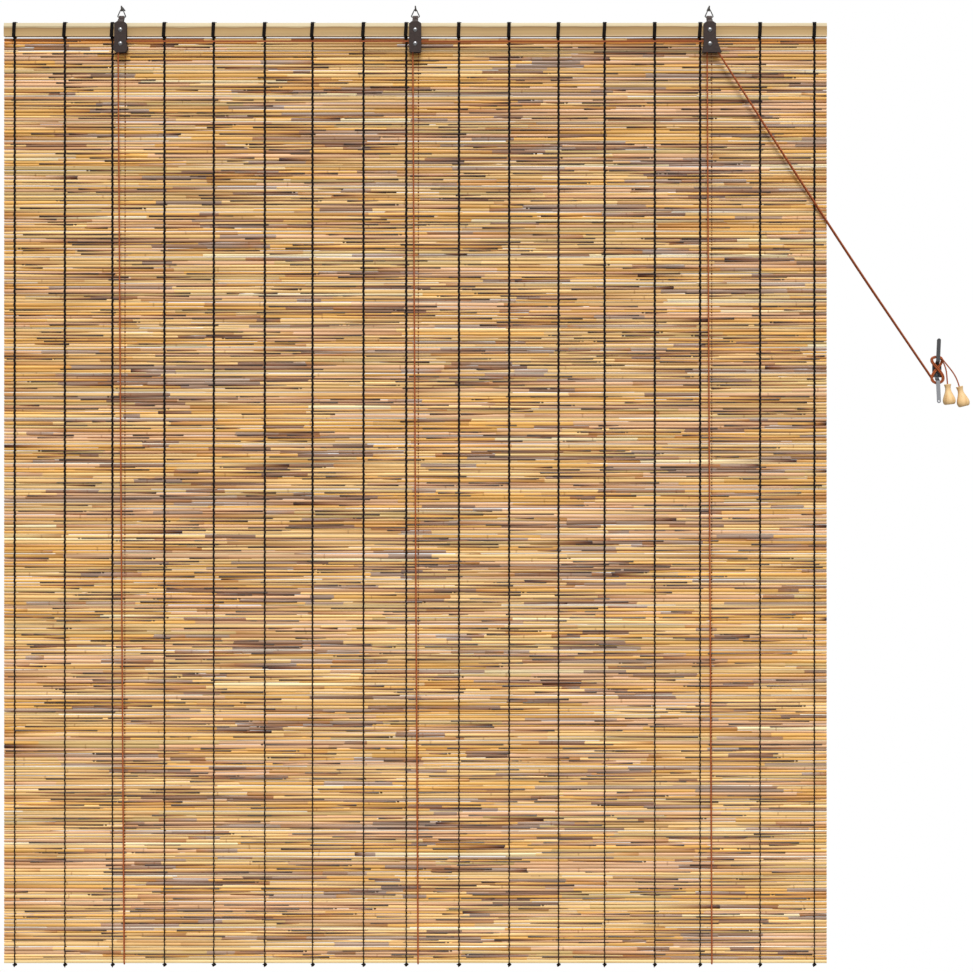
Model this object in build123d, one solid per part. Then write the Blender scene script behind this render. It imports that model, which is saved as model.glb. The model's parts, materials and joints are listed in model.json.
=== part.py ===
from build123d import *
import math
import os

# A reed roll up blind, hanging from three wall hooks, with its pull cords wound on a cleat.
# Millimetres. X runs along the headrail, the front faces -Y, and Z is up.
# The wall is the plane Y = 0, and the origin is where the centre hook enters it.

# Whole blind
BLIND_WIDTH = 1400
BLIND_DROP = 1600
BRACKET_SHARE = 5 / 14
MAT_TO_WALL = 18
CLEAT_SIDE_GAP = 190.6
CLEAT_DROP = 620
CUT_OVERRUN = 5
SMALL_CLEARANCE = 0.1

# Headrail and bottom slat
HEADRAIL_HEIGHT = 23
HEADRAIL_DEPTH = 12
HEADRAIL_BEVEL_HEIGHT = 5.9
HEADRAIL_BEVEL_DEPTH = 3
SLAT_HEIGHT = 6
SLAT_DEPTH = 4.6
SLAT_EDGE_RADIUS = 1.8

# Reed mat: one wall with a ridge for each reed, and a coarser back
REED_PITCH = 5.5
REED_DEPTH = 4.6
REEDS_PER_BACK_RIDGE = 2
MAT_WEB = 1.0
MAT_TOP_GAP = 2.4
MAT_GAP_COUNT = 40
MAT_GAP_HEIGHT = 1.0
MAT_GAP_MARGIN = 6

# Twine: places across the width, from the left edge, and one run beside each bracket
TWINE_SHARES = (
    0.013, 0.074, 0.195, 0.255, 0.317, 0.375, 0.437,
    0.553, 0.614, 0.674, 0.730, 0.791, 0.919, 0.985,
)
TWINE_BESIDE_BRACKET = 15.5
TWINE_WIDTH = 3.8
TWINE_CREST_WIDTH = 2.2
TWINE_HEIGHT = 1.5
WRAP_WIDTH = 6.5
WRAP_THICKNESS = 1.6
KNOT_WIDTH = 8
KNOT_FOOT_WIDTH = 5
KNOT_HEIGHT = 8

# Cords
CORD_DIAMETER = 2.2
CORD_LANE_GAP = 0.4
CORD_CLEARANCE = 0.3
LIFT_CORD_DRIFT = 4.5
LIFT_CORD_BACK_SHIFT = 5
LIFT_CORD_END_DROP = 12

# Wheels and rivets. Drops are measured down from the rings' bars.
WHEEL_GROOVE_RADIUS = 2.8
WHEEL_RADIUS = 6
WHEEL_FLANGE = 0.8
WHEEL_BORE_CLEARANCE = 0.08
WHEEL_SIDE_CLEARANCE = 0.3
AXLE_RADIUS = 1.5
AXLE_DROP = 47.9
RIVET_RADIUS = 2
RIVET_DROP = 24.4
RIVET_HEAD_RADIUS = 3.75
RIVET_CROWN_RADIUS = 2.4
RIVET_HEAD_HEIGHT = 1.6

# Brackets: one strip of sheet, folded over the ring's bar
SHEET = 1.2
SHEET_BEND = 1.8
EYE_CLEARANCE = 0.25
BRACKET_WIDTH = 20.6
BRACKET_BOTTOM_DROP = 62.6
BRACKET_CORNER = 2.5
NECK_WIDTH = 9.4
NECK_DROP = 9.4
SHOULDER_DROP = 13.4
HEADRAIL_TOP_DROP = 10.3
UPPER_FOLD_DROP = 1.8
LOWER_FOLD_DROP = 9.2
LEFT_BULGE = 2.2
RIGHT_FLARE_OUT = 9.9
RIGHT_FLARE_IN = 3
FLARE_START_DROP = 38.2

# Rings and hooks
RING_WIRE = 1.8
RING_WIDTH = 15
RING_HEIGHT = 16.3
RING_BASE_BEND = 1.4
HOOK_WIRE = 2.6
HOOK_THROAT_BEND = 4
HOOK_NECK_BEND = 3
HOOK_TIP_RISE = 0.8
HOOK_SHANK_LENGTH = 24
HOOK_POINT_LENGTH = 5
HOOK_POINT_RADIUS = 0.3

# Cleat: a plate with two horns, bent from one strip
CLEAT_SHEET = 1.8
CLEAT_BEND = 2.4
CLEAT_PLATE_WIDTH = 15.6
CLEAT_PLATE_HEIGHT = 20.8
CLEAT_NECK_HEIGHT = 25
CLEAT_STEP_HEIGHT = 34
CLEAT_HEIGHT = 110
CLEAT_HORN_WIDTH = 6.6
CLEAT_STANDOFF = 13
CLEAT_TIP_STANDOFF = 23
CLEAT_SCREW_RADIUS = 2.1
CLEAT_SCREW_SPACING = 12
CLEAT_EYE_RADIUS = 1.3
CLEAT_EYE_INSET = 3.6

# Figure of eight that the pull cords make on the cleat
EIGHT_BUNDLE = 5
EIGHT_HALF_WIDTH = 9.6
EIGHT_HALF_HEIGHT = 23
EIGHT_RISE = 1.6
EIGHT_CROSSING_RISE = 3
EIGHT_STANDOFF = 7.9
EIGHT_DEPTH = 2.65
EIGHT_STEPS = 16

# Tie between the cords in the right bracket
TIE_START = 3
TIE_LENGTH = 7
TIE_MARGIN = 0.5
TIE_HEIGHT = 4.4

# Staples on the headrail's back
STAPLE_WIRE = 1.2
STAPLE_LEG = 5
STAPLE_DROP = 18

# Wooden pulls
PULL_HEIGHT = 34.7
PULL_BELLY_RADIUS = 10.9
PULL_OUTLINE_SHARES = (
    (0, 0.56), (0.1, 0.49), (0.21, 0.46), (0.32, 0.50), (0.43, 0.63), (0.54, 0.79),
    (0.65, 0.93), (0.75, 1.0), (0.85, 0.97), (0.94, 0.86), (1, 0.70),
)
PULL_BORE_CLEARANCE = 0.6
PULL_RECESS_RADIUS = 4.2
PULL_RECESS_DEPTH = 12
PULL_KNOT_RADIUS = 3
PULL_KNOT_HEIGHT = 4

# Routes of the free cords. The ends at the cleat are measured from its centre on the wall:
# right, up, and out from the wall.
EDGE_CROSSING_Z = -370
EDGE_CROSSING_Y = {"front": -27.7, "rear": -24.9}
CLEAT_ENTRY = {
    "front": [(-8.7, -11.4, 4.8), (-3.4, -19.5, 6.0), (-0.6, -22.5, 7.8)],
    "rear": [(-8.3, -11.2, 2.0), (-3.2, -18.2, 3.2), (-0.6, -20.0, 6.0)],
}
TAILS = {
    "inner": [
        (4.6, 21.8, 8.0), (9.6, 16.6, 9.4), (12.6, 9.4, 10.6),
        (14.3, 0.4, 11.4), (15.4, -10.6, 12.0), (16.2, -22.5, 12.2),
    ],
    "outer": [
        (5.4, 23.6, 10.4), (10.4, 18.4, 12.2), (15.4, 11.2, 12.4),
        (21.2, 3.6, 12.4), (27.4, -5.0, 12.5), (32.6, -15.2, 12.6), (36.4, -26.4, 12.6),
    ],
}
PULL_TILTS = {"inner": 6, "outer": 13.7}

# Places that follow from the sizes above
MAT_Y = -MAT_TO_WALL
THROAT_Z = -HOOK_NECK_BEND - HOOK_THROAT_BEND
RING_TOP_Z = THROAT_Z + HOOK_WIRE / 2 + RING_WIRE / 2 + SMALL_CLEARANCE
RING_TOP_BEND = HOOK_WIRE / 2 + RING_WIRE / 2 + SMALL_CLEARANCE
RING_HALF_ANGLE = math.atan2(RING_WIDTH / 2, RING_HEIGHT)
RING_BAR_Z = RING_TOP_Z + RING_TOP_BEND / math.sin(RING_HALF_ANGLE) - RING_TOP_BEND - RING_HEIGHT
HEADRAIL_TOP_Z = RING_BAR_Z - HEADRAIL_TOP_DROP
HEADRAIL_BOTTOM_Z = HEADRAIL_TOP_Z - HEADRAIL_HEIGHT
HEADRAIL_FRONT_Y = MAT_Y - HEADRAIL_DEPTH / 2
HEADRAIL_BACK_Y = MAT_Y + HEADRAIL_DEPTH / 2
SLAT_BOTTOM_Z = HEADRAIL_TOP_Z - BLIND_DROP
SLAT_TOP_Z = SLAT_BOTTOM_Z + SLAT_HEIGHT
MAT_TOP_Z = HEADRAIL_BOTTOM_Z - MAT_TOP_GAP
MAT_HEIGHT = MAT_TOP_Z - SLAT_TOP_Z
REED_COUNT = REEDS_PER_BACK_RIDGE * round(MAT_HEIGHT / REED_PITCH / REEDS_PER_BACK_RIDGE)
REED_STEP = MAT_HEIGHT / REED_COUNT
BRACKET_SPACING = BLIND_WIDTH * BRACKET_SHARE
BRACKET_XS = {"left": -BRACKET_SPACING, "centre": 0, "right": BRACKET_SPACING}
TWINE_XS = sorted(
    [(share - 0.5) * BLIND_WIDTH for share in TWINE_SHARES]
    + [x - TWINE_BESIDE_BRACKET for x in BRACKET_XS.values()]
)
TWINE_GAP = REED_DEPTH / 2 + SMALL_CLEARANCE
CORD_LANE_PITCH = CORD_DIAMETER + CORD_LANE_GAP
WHEEL_GROOVE_WIDTH = 3 * CORD_LANE_PITCH
WHEEL_WIDTH = WHEEL_GROOVE_WIDTH + 2 * WHEEL_FLANGE
PLATE_GAP = WHEEL_WIDTH + 2 * WHEEL_SIDE_CLEARANCE
PLATE_BACK_Y = HEADRAIL_FRONT_Y - SHEET
PLATE_FRONT_Y = PLATE_BACK_Y - PLATE_GAP - SHEET
WHEEL_Y = PLATE_BACK_Y - PLATE_GAP / 2
LANE_Y = {"front": WHEEL_Y - CORD_LANE_PITCH, "middle": WHEEL_Y, "rear": WHEEL_Y + CORD_LANE_PITCH}
CORD_ON_WHEEL = WHEEL_GROOVE_RADIUS + CORD_DIAMETER / 2 + CORD_CLEARANCE
TIE_WIDTH = 2 * CORD_LANE_PITCH + CORD_DIAMETER + 2 * TIE_MARGIN
AXLE_Z = RING_BAR_Z - AXLE_DROP
RIVET_Z = RING_BAR_Z - RIVET_DROP
CLEAT_X = BLIND_WIDTH / 2 + CLEAT_SIDE_GAP
CLEAT_Z = -CLEAT_DROP


def y_rod(radius, y_from, y_to, x, z):
    """Round rod along Y."""
    return Pos(x, (y_from + y_to) / 2, z) * Rot(90, 0, 0) * Cylinder(radius, abs(y_to - y_from))


def rivet(radius, y_front, y_back, x, z):
    """Shaft with a crowned head in front of y_front."""
    head = Cone(RIVET_HEAD_RADIUS, RIVET_CROWN_RADIUS, RIVET_HEAD_HEIGHT)
    head = Pos(x, y_front - RIVET_HEAD_HEIGHT / 2, z) * Rot(90, 0, 0) * head
    return head + y_rod(radius, y_front, y_back, x, z)


def front_prism(points):
    """Prism along Y from an outline in X and Z, long enough to cut through the part."""
    outline = Plane.XZ * make_face(Polyline(*points, close=True))
    reach = MAT_TO_WALL + HEADRAIL_DEPTH + PLATE_GAP + CLEAT_TIP_STANDOFF
    return extrude(outline, amount=reach, both=True)


def folded_strip(path, width, thickness):
    """Strip of sheet along a path in the YZ plane."""
    section = Plane(path @ 0, x_dir=(1, 0, 0), z_dir=path % 0) * Rectangle(width, thickness)
    return sweep(section, path=path)


def bend_radii(points):
    """Largest even arc at each corner of a cord's route."""
    radii = []
    for before, at, after in zip(points, points[1:], points[2:]):
        first = Vector(*at) - Vector(*before)
        second = Vector(*after) - Vector(*at)
        half_turn = math.radians(first.get_angle(second)) / 2
        radii.append(0.45 * min(first.length, second.length) / math.tan(half_turn))
    return radii


def cord_tube(points, radii, diameter=CORD_DIAMETER):
    """Plain six-sided tube along a route."""
    path = FilletPolyline(*points, radius=radii)
    section = RegularPolygon(diameter / 2, side_count=6, major_radius=False)
    return sweep(Plane(path @ 0, z_dir=path % 0) * section, path=path)


def headrail():
    """Batten with a bevel along both of its upper edges."""
    half_depth = HEADRAIL_DEPTH / 2
    half_top = half_depth - HEADRAIL_BEVEL_DEPTH
    shoulder = HEADRAIL_HEIGHT - HEADRAIL_BEVEL_HEIGHT
    outline = Polyline(
        (-half_depth, 0), (half_depth, 0), (half_depth, shoulder),
        (half_top, HEADRAIL_HEIGHT), (-half_top, HEADRAIL_HEIGHT), (-half_depth, shoulder), close=True,
    )
    body = extrude(Plane.YZ * make_face(outline), amount=BLIND_WIDTH / 2, both=True)
    body = Pos(0, MAT_Y, HEADRAIL_BOTTOM_Z) * body
    for x in BRACKET_XS.values():
        hole_radius = RIVET_RADIUS + SMALL_CLEARANCE
        body -= y_rod(hole_radius, HEADRAIL_FRONT_Y - CUT_OVERRUN, HEADRAIL_BACK_Y + CUT_OVERRUN, x, RIVET_Z)
    return body


def bottom_slat():
    section = RectangleRounded(SLAT_DEPTH, SLAT_HEIGHT, SLAT_EDGE_RADIUS)
    bar = extrude(Plane.YZ * section, amount=BLIND_WIDTH / 2, both=True)
    return Pos(0, MAT_Y, SLAT_BOTTOM_Z + SLAT_HEIGHT / 2) * bar


def ridge_line(ridges, side):
    """Zigzag down one face of the mat: a crest for each ridge, a valley at each end."""
    step = MAT_HEIGHT / ridges
    points = []
    for i in range(ridges):
        points.append((MAT_Y + side * MAT_WEB / 2, MAT_TOP_Z - i * step))
        points.append((MAT_Y + side * REED_DEPTH / 2, MAT_TOP_Z - (i + 0.5) * step))
    points.append((MAT_Y + side * MAT_WEB / 2, MAT_TOP_Z - MAT_HEIGHT))
    return points


def mat_gap(index):
    """Slot through a valley of the mat, running between two twines."""
    row = round((index + 0.5) * REED_COUNT / MAT_GAP_COUNT / REEDS_PER_BACK_RIDGE) * REEDS_PER_BACK_RIDGE
    first = index * 5 % (len(TWINE_XS) - 4)
    last = first + 2 + index % 3
    start = TWINE_XS[first] + MAT_GAP_MARGIN
    end = TWINE_XS[last] - MAT_GAP_MARGIN
    slot = Box(end - start, REED_DEPTH, MAT_GAP_HEIGHT)
    return Pos((start + end) / 2, MAT_Y, MAT_TOP_Z - row * REED_STEP) * slot


def reed_mat():
    front = ridge_line(REED_COUNT, -1)
    back = ridge_line(REED_COUNT // REEDS_PER_BACK_RIDGE, 1)
    face = Plane.YZ * make_face(Polyline(*front, *reversed(back), close=True))
    wall = extrude(face, amount=BLIND_WIDTH / 2, both=True)
    return wall - [mat_gap(i) for i in range(MAT_GAP_COUNT)]


def twine(x, side):
    """Flat-topped run of twine down one face of the mat and the slat."""
    crest = TWINE_CREST_WIDTH / 2
    foot = TWINE_WIDTH / 2
    points = [(-foot, 0), (foot, 0), (crest, side * TWINE_HEIGHT), (-crest, side * TWINE_HEIGHT)]
    section = make_face(Polyline(*points, close=True))
    run = extrude(Plane.XY * section, amount=MAT_TOP_Z - SLAT_BOTTOM_Z)
    return Pos(x, MAT_Y + side * TWINE_GAP, SLAT_BOTTOM_Z) * run


def headrail_wrap(x):
    """Loop of twine round the headrail."""
    inner_depth = HEADRAIL_DEPTH + 2 * SMALL_CLEARANCE
    inner_height = HEADRAIL_HEIGHT + 2 * SMALL_CLEARANCE
    loop = Box(WRAP_WIDTH, inner_depth + 2 * WRAP_THICKNESS, inner_height + 2 * WRAP_THICKNESS)
    loop -= Box(WRAP_WIDTH + CUT_OVERRUN, inner_depth, inner_height)
    return Pos(x, MAT_Y, HEADRAIL_TOP_Z - HEADRAIL_HEIGHT / 2) * loop


def bottom_knot(x):
    """Knot that closes the front and back twine under the slat."""
    depth = 2 * (TWINE_GAP + TWINE_HEIGHT)
    top = Plane((x, MAT_Y, SLAT_BOTTOM_Z - SMALL_CLEARANCE)) * Rectangle(KNOT_WIDTH, depth)
    foot_z = SLAT_BOTTOM_Z - SMALL_CLEARANCE - KNOT_HEIGHT
    foot = Plane((x, MAT_Y, foot_z)) * Rectangle(KNOT_FOOT_WIDTH, REED_DEPTH)
    return loft([foot, top])


def bracket_outline(side):
    """Front outline of a bracket, down from the ring's bar: plain, bulged or flared below."""
    half = BRACKET_WIDTH / 2
    neck = NECK_WIDTH / 2
    bottom = -BRACKET_BOTTOM_DROP
    head = [(-half, -SHOULDER_DROP), (-neck, -NECK_DROP), (-neck, CUT_OVERRUN),
            (neck, CUT_OVERRUN), (neck, -NECK_DROP), (half, -SHOULDER_DROP)]
    if side == "right":
        return head + [(half, -FLARE_START_DROP), (half + RIGHT_FLARE_OUT, bottom),
                       (-half - RIGHT_FLARE_IN, bottom), (-half, -AXLE_DROP)]
    corner_z = bottom + BRACKET_CORNER
    widest_z = (corner_z - AXLE_DROP) / 2
    bulge = LEFT_BULGE if side == "left" else 0
    right_side = [(half, -AXLE_DROP), (half + bulge, widest_z), (half, corner_z), (half - BRACKET_CORNER, bottom)]
    return head + right_side + [(-x, z) for x, z in reversed(right_side)]


def bracket(side):
    """Folded sheet: back plate, hairpin over the ring's bar, front plate."""
    eye = RING_WIRE / 2 + EYE_CLEARANCE + SHEET / 2
    back_y = PLATE_BACK_Y + SHEET / 2
    front_y = PLATE_FRONT_Y + SHEET / 2
    fold_z = RING_BAR_Z - LOWER_FOLD_DROP
    top_z = RING_BAR_Z - UPPER_FOLD_DROP
    bottom_z = RING_BAR_Z - BRACKET_BOTTOM_DROP
    rear = FilletPolyline(
        (0, back_y, bottom_z), (0, back_y, fold_z), (0, MAT_Y + eye, top_z), (0, MAT_Y + eye, RING_BAR_Z),
        radius=SHEET_BEND,
    )
    over = ThreePointArc(
        (0, MAT_Y + eye, RING_BAR_Z), (0, MAT_Y, RING_BAR_Z + eye), (0, MAT_Y - eye, RING_BAR_Z)
    )
    front = FilletPolyline(
        (0, MAT_Y - eye, RING_BAR_Z), (0, MAT_Y - eye, top_z), (0, front_y, fold_z), (0, front_y, bottom_z),
        radius=SHEET_BEND,
    )
    path = Wire(rear.edges() + over.edges() + front.edges())
    widest = BRACKET_WIDTH + 2 * max(RIGHT_FLARE_OUT, RIGHT_FLARE_IN, LEFT_BULGE)
    outline = [(x, RING_BAR_Z + z) for x, z in bracket_outline(side)]
    body = folded_strip(path, widest, SHEET) & front_prism(outline)
    y_from = PLATE_FRONT_Y - CUT_OVERRUN
    y_to = HEADRAIL_FRONT_Y + CUT_OVERRUN
    body -= y_rod(RIVET_RADIUS + SMALL_CLEARANCE, y_from, y_to, 0, RIVET_Z)
    body -= y_rod(AXLE_RADIUS + SMALL_CLEARANCE, y_from, y_to, 0, AXLE_Z)
    return Pos(BRACKET_XS[side], 0, 0) * body


def wheel(x):
    """Grooved wheel, turned about the axle."""
    half = WHEEL_WIDTH / 2
    groove = WHEEL_GROOVE_WIDTH / 2
    bore = AXLE_RADIUS + WHEEL_BORE_CLEARANCE
    points = [(bore, -half), (WHEEL_RADIUS, -half), (WHEEL_GROOVE_RADIUS, -groove),
              (WHEEL_GROOVE_RADIUS, groove), (WHEEL_RADIUS, half), (bore, half)]
    body = revolve(Plane.XY * make_face(Polyline(*points, close=True)), axis=Axis.Y)
    return Pos(x, WHEEL_Y, AXLE_Z) * body


def ring(x):
    """Triangular wire ring that hangs on a hook."""
    half = RING_WIDTH / 2
    bar_z = RING_BAR_Z
    corners = [(0, MAT_Y, bar_z), (half, MAT_Y, bar_z), (0, MAT_Y, bar_z + RING_HEIGHT), (-half, MAT_Y, bar_z)]
    radii = [0, RING_BASE_BEND, RING_TOP_BEND, RING_BASE_BEND]
    path = FilletPolyline(*corners, radius=radii, close=True)
    section = Plane((0, MAT_Y, bar_z), z_dir=(1, 0, 0)) * RegularPolygon(RING_WIRE / 2, side_count=6)
    return Pos(x, 0, 0) * sweep(section, path=path)


def hook(x):
    """Screw hook: shank in the wall, neck bent down, throat bent up."""
    neck_y = MAT_Y + HOOK_THROAT_BEND
    tip_y = MAT_Y - HOOK_THROAT_BEND
    path = FilletPolyline(
        (0, 0, 0), (0, neck_y, 0), (0, neck_y, THROAT_Z), (0, tip_y, THROAT_Z), (0, tip_y, HOOK_TIP_RISE),
        radius=[HOOK_NECK_BEND, HOOK_THROAT_BEND - SMALL_CLEARANCE, HOOK_THROAT_BEND - SMALL_CLEARANCE],
    )
    section = Plane((0, 0, 0), z_dir=(0, -1, 0)) * RegularPolygon(HOOK_WIRE / 2, side_count=6)
    shank = y_rod(HOOK_WIRE / 2, 0, HOOK_SHANK_LENGTH - HOOK_POINT_LENGTH, 0, 0)
    point = Cone(HOOK_WIRE / 2, HOOK_POINT_RADIUS, HOOK_POINT_LENGTH)
    point = Pos(0, HOOK_SHANK_LENGTH - HOOK_POINT_LENGTH / 2, 0) * Rot(-90, 0, 0) * point
    return Pos(x, 0, 0) * (sweep(section, path=path) + shank + point)


def cleat():
    """Plate with two horns that step out from the wall and lean forward."""
    plate_y = -CLEAT_SHEET / 2
    upper = [
        (0, -CLEAT_TIP_STANDOFF, CLEAT_HEIGHT / 2), (0, -CLEAT_STANDOFF, CLEAT_STEP_HEIGHT / 2),
        (0, plate_y, CLEAT_NECK_HEIGHT / 2),
    ]
    lower = [(x, y, -z) for x, y, z in reversed(upper)]
    body = folded_strip(FilletPolyline(*upper, *lower, radius=CLEAT_BEND), CLEAT_PLATE_WIDTH, CLEAT_SHEET)
    plate = Rectangle(CLEAT_PLATE_WIDTH, CLEAT_PLATE_HEIGHT)
    horns = SlotOverall(CLEAT_HEIGHT, CLEAT_HORN_WIDTH, rotation=90)
    outline = Plane.XZ * (plate + horns)
    body &= extrude(outline, amount=CLEAT_TIP_STANDOFF + CUT_OVERRUN, both=True)
    for z in (-CLEAT_SCREW_SPACING / 2, CLEAT_SCREW_SPACING / 2):
        body -= y_rod(CLEAT_SCREW_RADIUS, -CLEAT_SHEET - CUT_OVERRUN, CUT_OVERRUN, 0, z)
    eye_z = -CLEAT_HEIGHT / 2 + CLEAT_EYE_INSET
    body -= y_rod(CLEAT_EYE_RADIUS, -CLEAT_TIP_STANDOFF - CUT_OVERRUN, 0, 0, eye_z)
    return Pos(CLEAT_X, 0, CLEAT_Z) * body


def from_cleat(points):
    """Points measured from the cleat's centre, in the part's frame."""
    return [(CLEAT_X + right, -out, CLEAT_Z + up) for right, up, out in points]


def cleat_wrap():
    """Outer form of the cords wound on the cleat: behind each horn, crossing in front of the plate."""
    points = []
    for i in range(EIGHT_STEPS + 1):
        angle = math.pi + 2 * math.pi * (i + 0.5) / (EIGHT_STEPS + 1)
        right = EIGHT_HALF_WIDTH * math.sin(2 * angle)
        up = EIGHT_RISE + EIGHT_HALF_HEIGHT * math.cos(angle) + EIGHT_CROSSING_RISE * math.sin(angle) ** 2
        points.append((right, up, EIGHT_STANDOFF + EIGHT_DEPTH * math.sin(angle)))
    points = from_cleat(points)
    return cord_tube(points, bend_radii(points), EIGHT_BUNDLE)


def exit_direction():
    """Way that the pull cords leave the right wheel, in X and Z."""
    way = Vector(CLEAT_X - BRACKET_SPACING, 0, CLEAT_Z - AXLE_Z)
    return way.normalized()


def exit_point(lane, distance):
    """Point on the pull cords' line, past where it leaves the right wheel."""
    way = exit_direction()
    off_wheel = Vector(-way.Z, 0, way.X) * CORD_ON_WHEEL
    start = Vector(BRACKET_SPACING, LANE_Y[lane], AXLE_Z) + off_wheel
    return tuple(start + way * distance)


def over_wheel_corner(x, lane):
    """Corner that rounds to the right wheel's arc, between the head run and the exit."""
    way = exit_direction()
    half_turn = math.atan2(-way.Z, way.X) / 2
    return (x + CORD_ON_WHEEL * math.tan(half_turn), LANE_Y[lane], AXLE_Z + CORD_ON_WHEEL)


def lift_cord(side, lane):
    """Down the front from the wheel, under the slat and up the back to the staple."""
    x = BRACKET_XS[side]
    turn = max(REED_DEPTH, SLAT_DEPTH) / 2 + CORD_DIAMETER / 2 + CORD_CLEARANCE
    low_z = SLAT_BOTTOM_Z - CORD_DIAMETER / 2 - CORD_CLEARANCE
    top_z = AXLE_Z - SMALL_CLEARANCE
    end_y = HEADRAIL_BACK_Y + CORD_DIAMETER / 2 + CORD_CLEARANCE
    points = [
        (x - CORD_ON_WHEEL, LANE_Y[lane], top_z),
        (x + LIFT_CORD_DRIFT, MAT_Y - turn, low_z),
        (x + LIFT_CORD_DRIFT, MAT_Y + turn, low_z),
        (x + LIFT_CORD_BACK_SHIFT, end_y, HEADRAIL_TOP_Z - LIFT_CORD_END_DROP),
    ]
    radii = [turn - CORD_CLEARANCE, turn - CORD_CLEARANCE]
    if side == "right":
        points[0] = (x - CORD_ON_WHEEL, LANE_Y[lane], AXLE_Z + CORD_ON_WHEEL)
        points.insert(0, over_wheel_corner(x, lane))
        points.insert(0, exit_point(lane, TIE_START))
        radii = [CORD_ON_WHEEL - SMALL_CLEARANCE, CORD_ON_WHEEL - SMALL_CLEARANCE] + radii
    return cord_tube(points, radii)


def head_cord(side, lane):
    """From a wheel along the headrail and over the right wheel to the tie."""
    x = BRACKET_XS[side] - CORD_ON_WHEEL
    points = [
        (x, LANE_Y[lane], AXLE_Z - SMALL_CLEARANCE),
        (x, LANE_Y[lane], AXLE_Z + CORD_ON_WHEEL),
        over_wheel_corner(BRACKET_XS["right"], lane),
        exit_point(lane, TIE_START),
    ]
    return cord_tube(points, CORD_ON_WHEEL)


def cord_tie():
    """Knot that joins the three cords inside the right bracket."""
    plane = Plane(exit_point("middle", TIE_START), x_dir=(0, 1, 0), z_dir=exit_direction())
    return extrude(plane * SlotOverall(TIE_WIDTH, TIE_HEIGHT), amount=TIE_LENGTH)


def pull_cord(run, lane):
    """From the tie, over the mat's edge, to the cords wound on the cleat."""
    points = [
        exit_point(lane, TIE_START + TIE_LENGTH + SMALL_CLEARANCE),
        (BLIND_WIDTH / 2, EDGE_CROSSING_Y[run], EDGE_CROSSING_Z),
        *from_cleat(CLEAT_ENTRY[run]),
    ]
    radii = bend_radii(points)
    print("pull cord", run, "bend radii", [round(r, 1) for r in radii])
    return cord_tube(points, radii)


def pull_plane(name):
    """Plane at a pull's top, with Z up along its axis."""
    tilt = math.radians(PULL_TILTS[name])
    top = from_cleat(TAILS[name])[-1]
    return Plane(top, x_dir=(0, -1, 0), z_dir=(-math.sin(tilt), 0, math.cos(tilt)))


def pull_tail(name):
    """Free end of a pull cord, through its pull to the knot in the recess."""
    plane = pull_plane(name)
    knot_top = PULL_HEIGHT - PULL_RECESS_DEPTH + SMALL_CLEARANCE
    inside = Vector(*from_cleat(TAILS[name])[-1]) - plane.z_dir * (knot_top + PULL_KNOT_HEIGHT / 2)
    points = [*from_cleat(TAILS[name]), tuple(inside)]
    radii = bend_radii(points)
    print("tail", name, "bend radii", [round(r, 1) for r in radii])
    knot = Cylinder(PULL_KNOT_RADIUS, PULL_KNOT_HEIGHT)
    return cord_tube(points, radii) + plane * Pos(0, 0, -knot_top - PULL_KNOT_HEIGHT / 2) * knot


def wood_pull(name):
    """Turned pull: flared rim, narrow neck, round belly, recess for the knot below."""
    outline = [(radius * PULL_BELLY_RADIUS, -down * PULL_HEIGHT) for down, radius in PULL_OUTLINE_SHARES]
    face = make_face(Polyline(*outline, (0, -PULL_HEIGHT), (0, 0), close=True))
    body = revolve(Plane.XZ * face, axis=Axis.Z)
    bore_radius = CORD_DIAMETER / 2 + PULL_BORE_CLEARANCE
    body -= Pos(0, 0, -PULL_HEIGHT / 2) * Cylinder(bore_radius, PULL_HEIGHT + CUT_OVERRUN)
    recess = Cylinder(PULL_RECESS_RADIUS, PULL_RECESS_DEPTH + CUT_OVERRUN)
    body -= Pos(0, 0, -PULL_HEIGHT + (PULL_RECESS_DEPTH - CUT_OVERRUN) / 2) * recess
    return pull_plane(name) * body


def staple(x):
    """Wire staple over the end of a lift cord, driven into the headrail's back."""
    inside = CORD_DIAMETER / 2 + CORD_CLEARANCE
    crown_y = HEADRAIL_BACK_Y + CORD_DIAMETER + 2 * CORD_CLEARANCE
    leg_y = HEADRAIL_BACK_Y - STAPLE_LEG
    outer = Rectangle(2 * (inside + STAPLE_WIRE), crown_y + STAPLE_WIRE - leg_y, align=(Align.CENTER, Align.MIN))
    inner = Rectangle(2 * inside, crown_y - leg_y, align=(Align.CENTER, Align.MIN))
    wire = extrude(Plane.XY * (outer - inner), amount=STAPLE_WIRE)
    return Pos(x + LIFT_CORD_BACK_SHIFT, leg_y, HEADRAIL_TOP_Z - STAPLE_DROP) * wire


def group(shapes):
    """Separate solids that share one file."""
    return Compound(children=[solid for shape in shapes for solid in shape.solids()])


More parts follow.
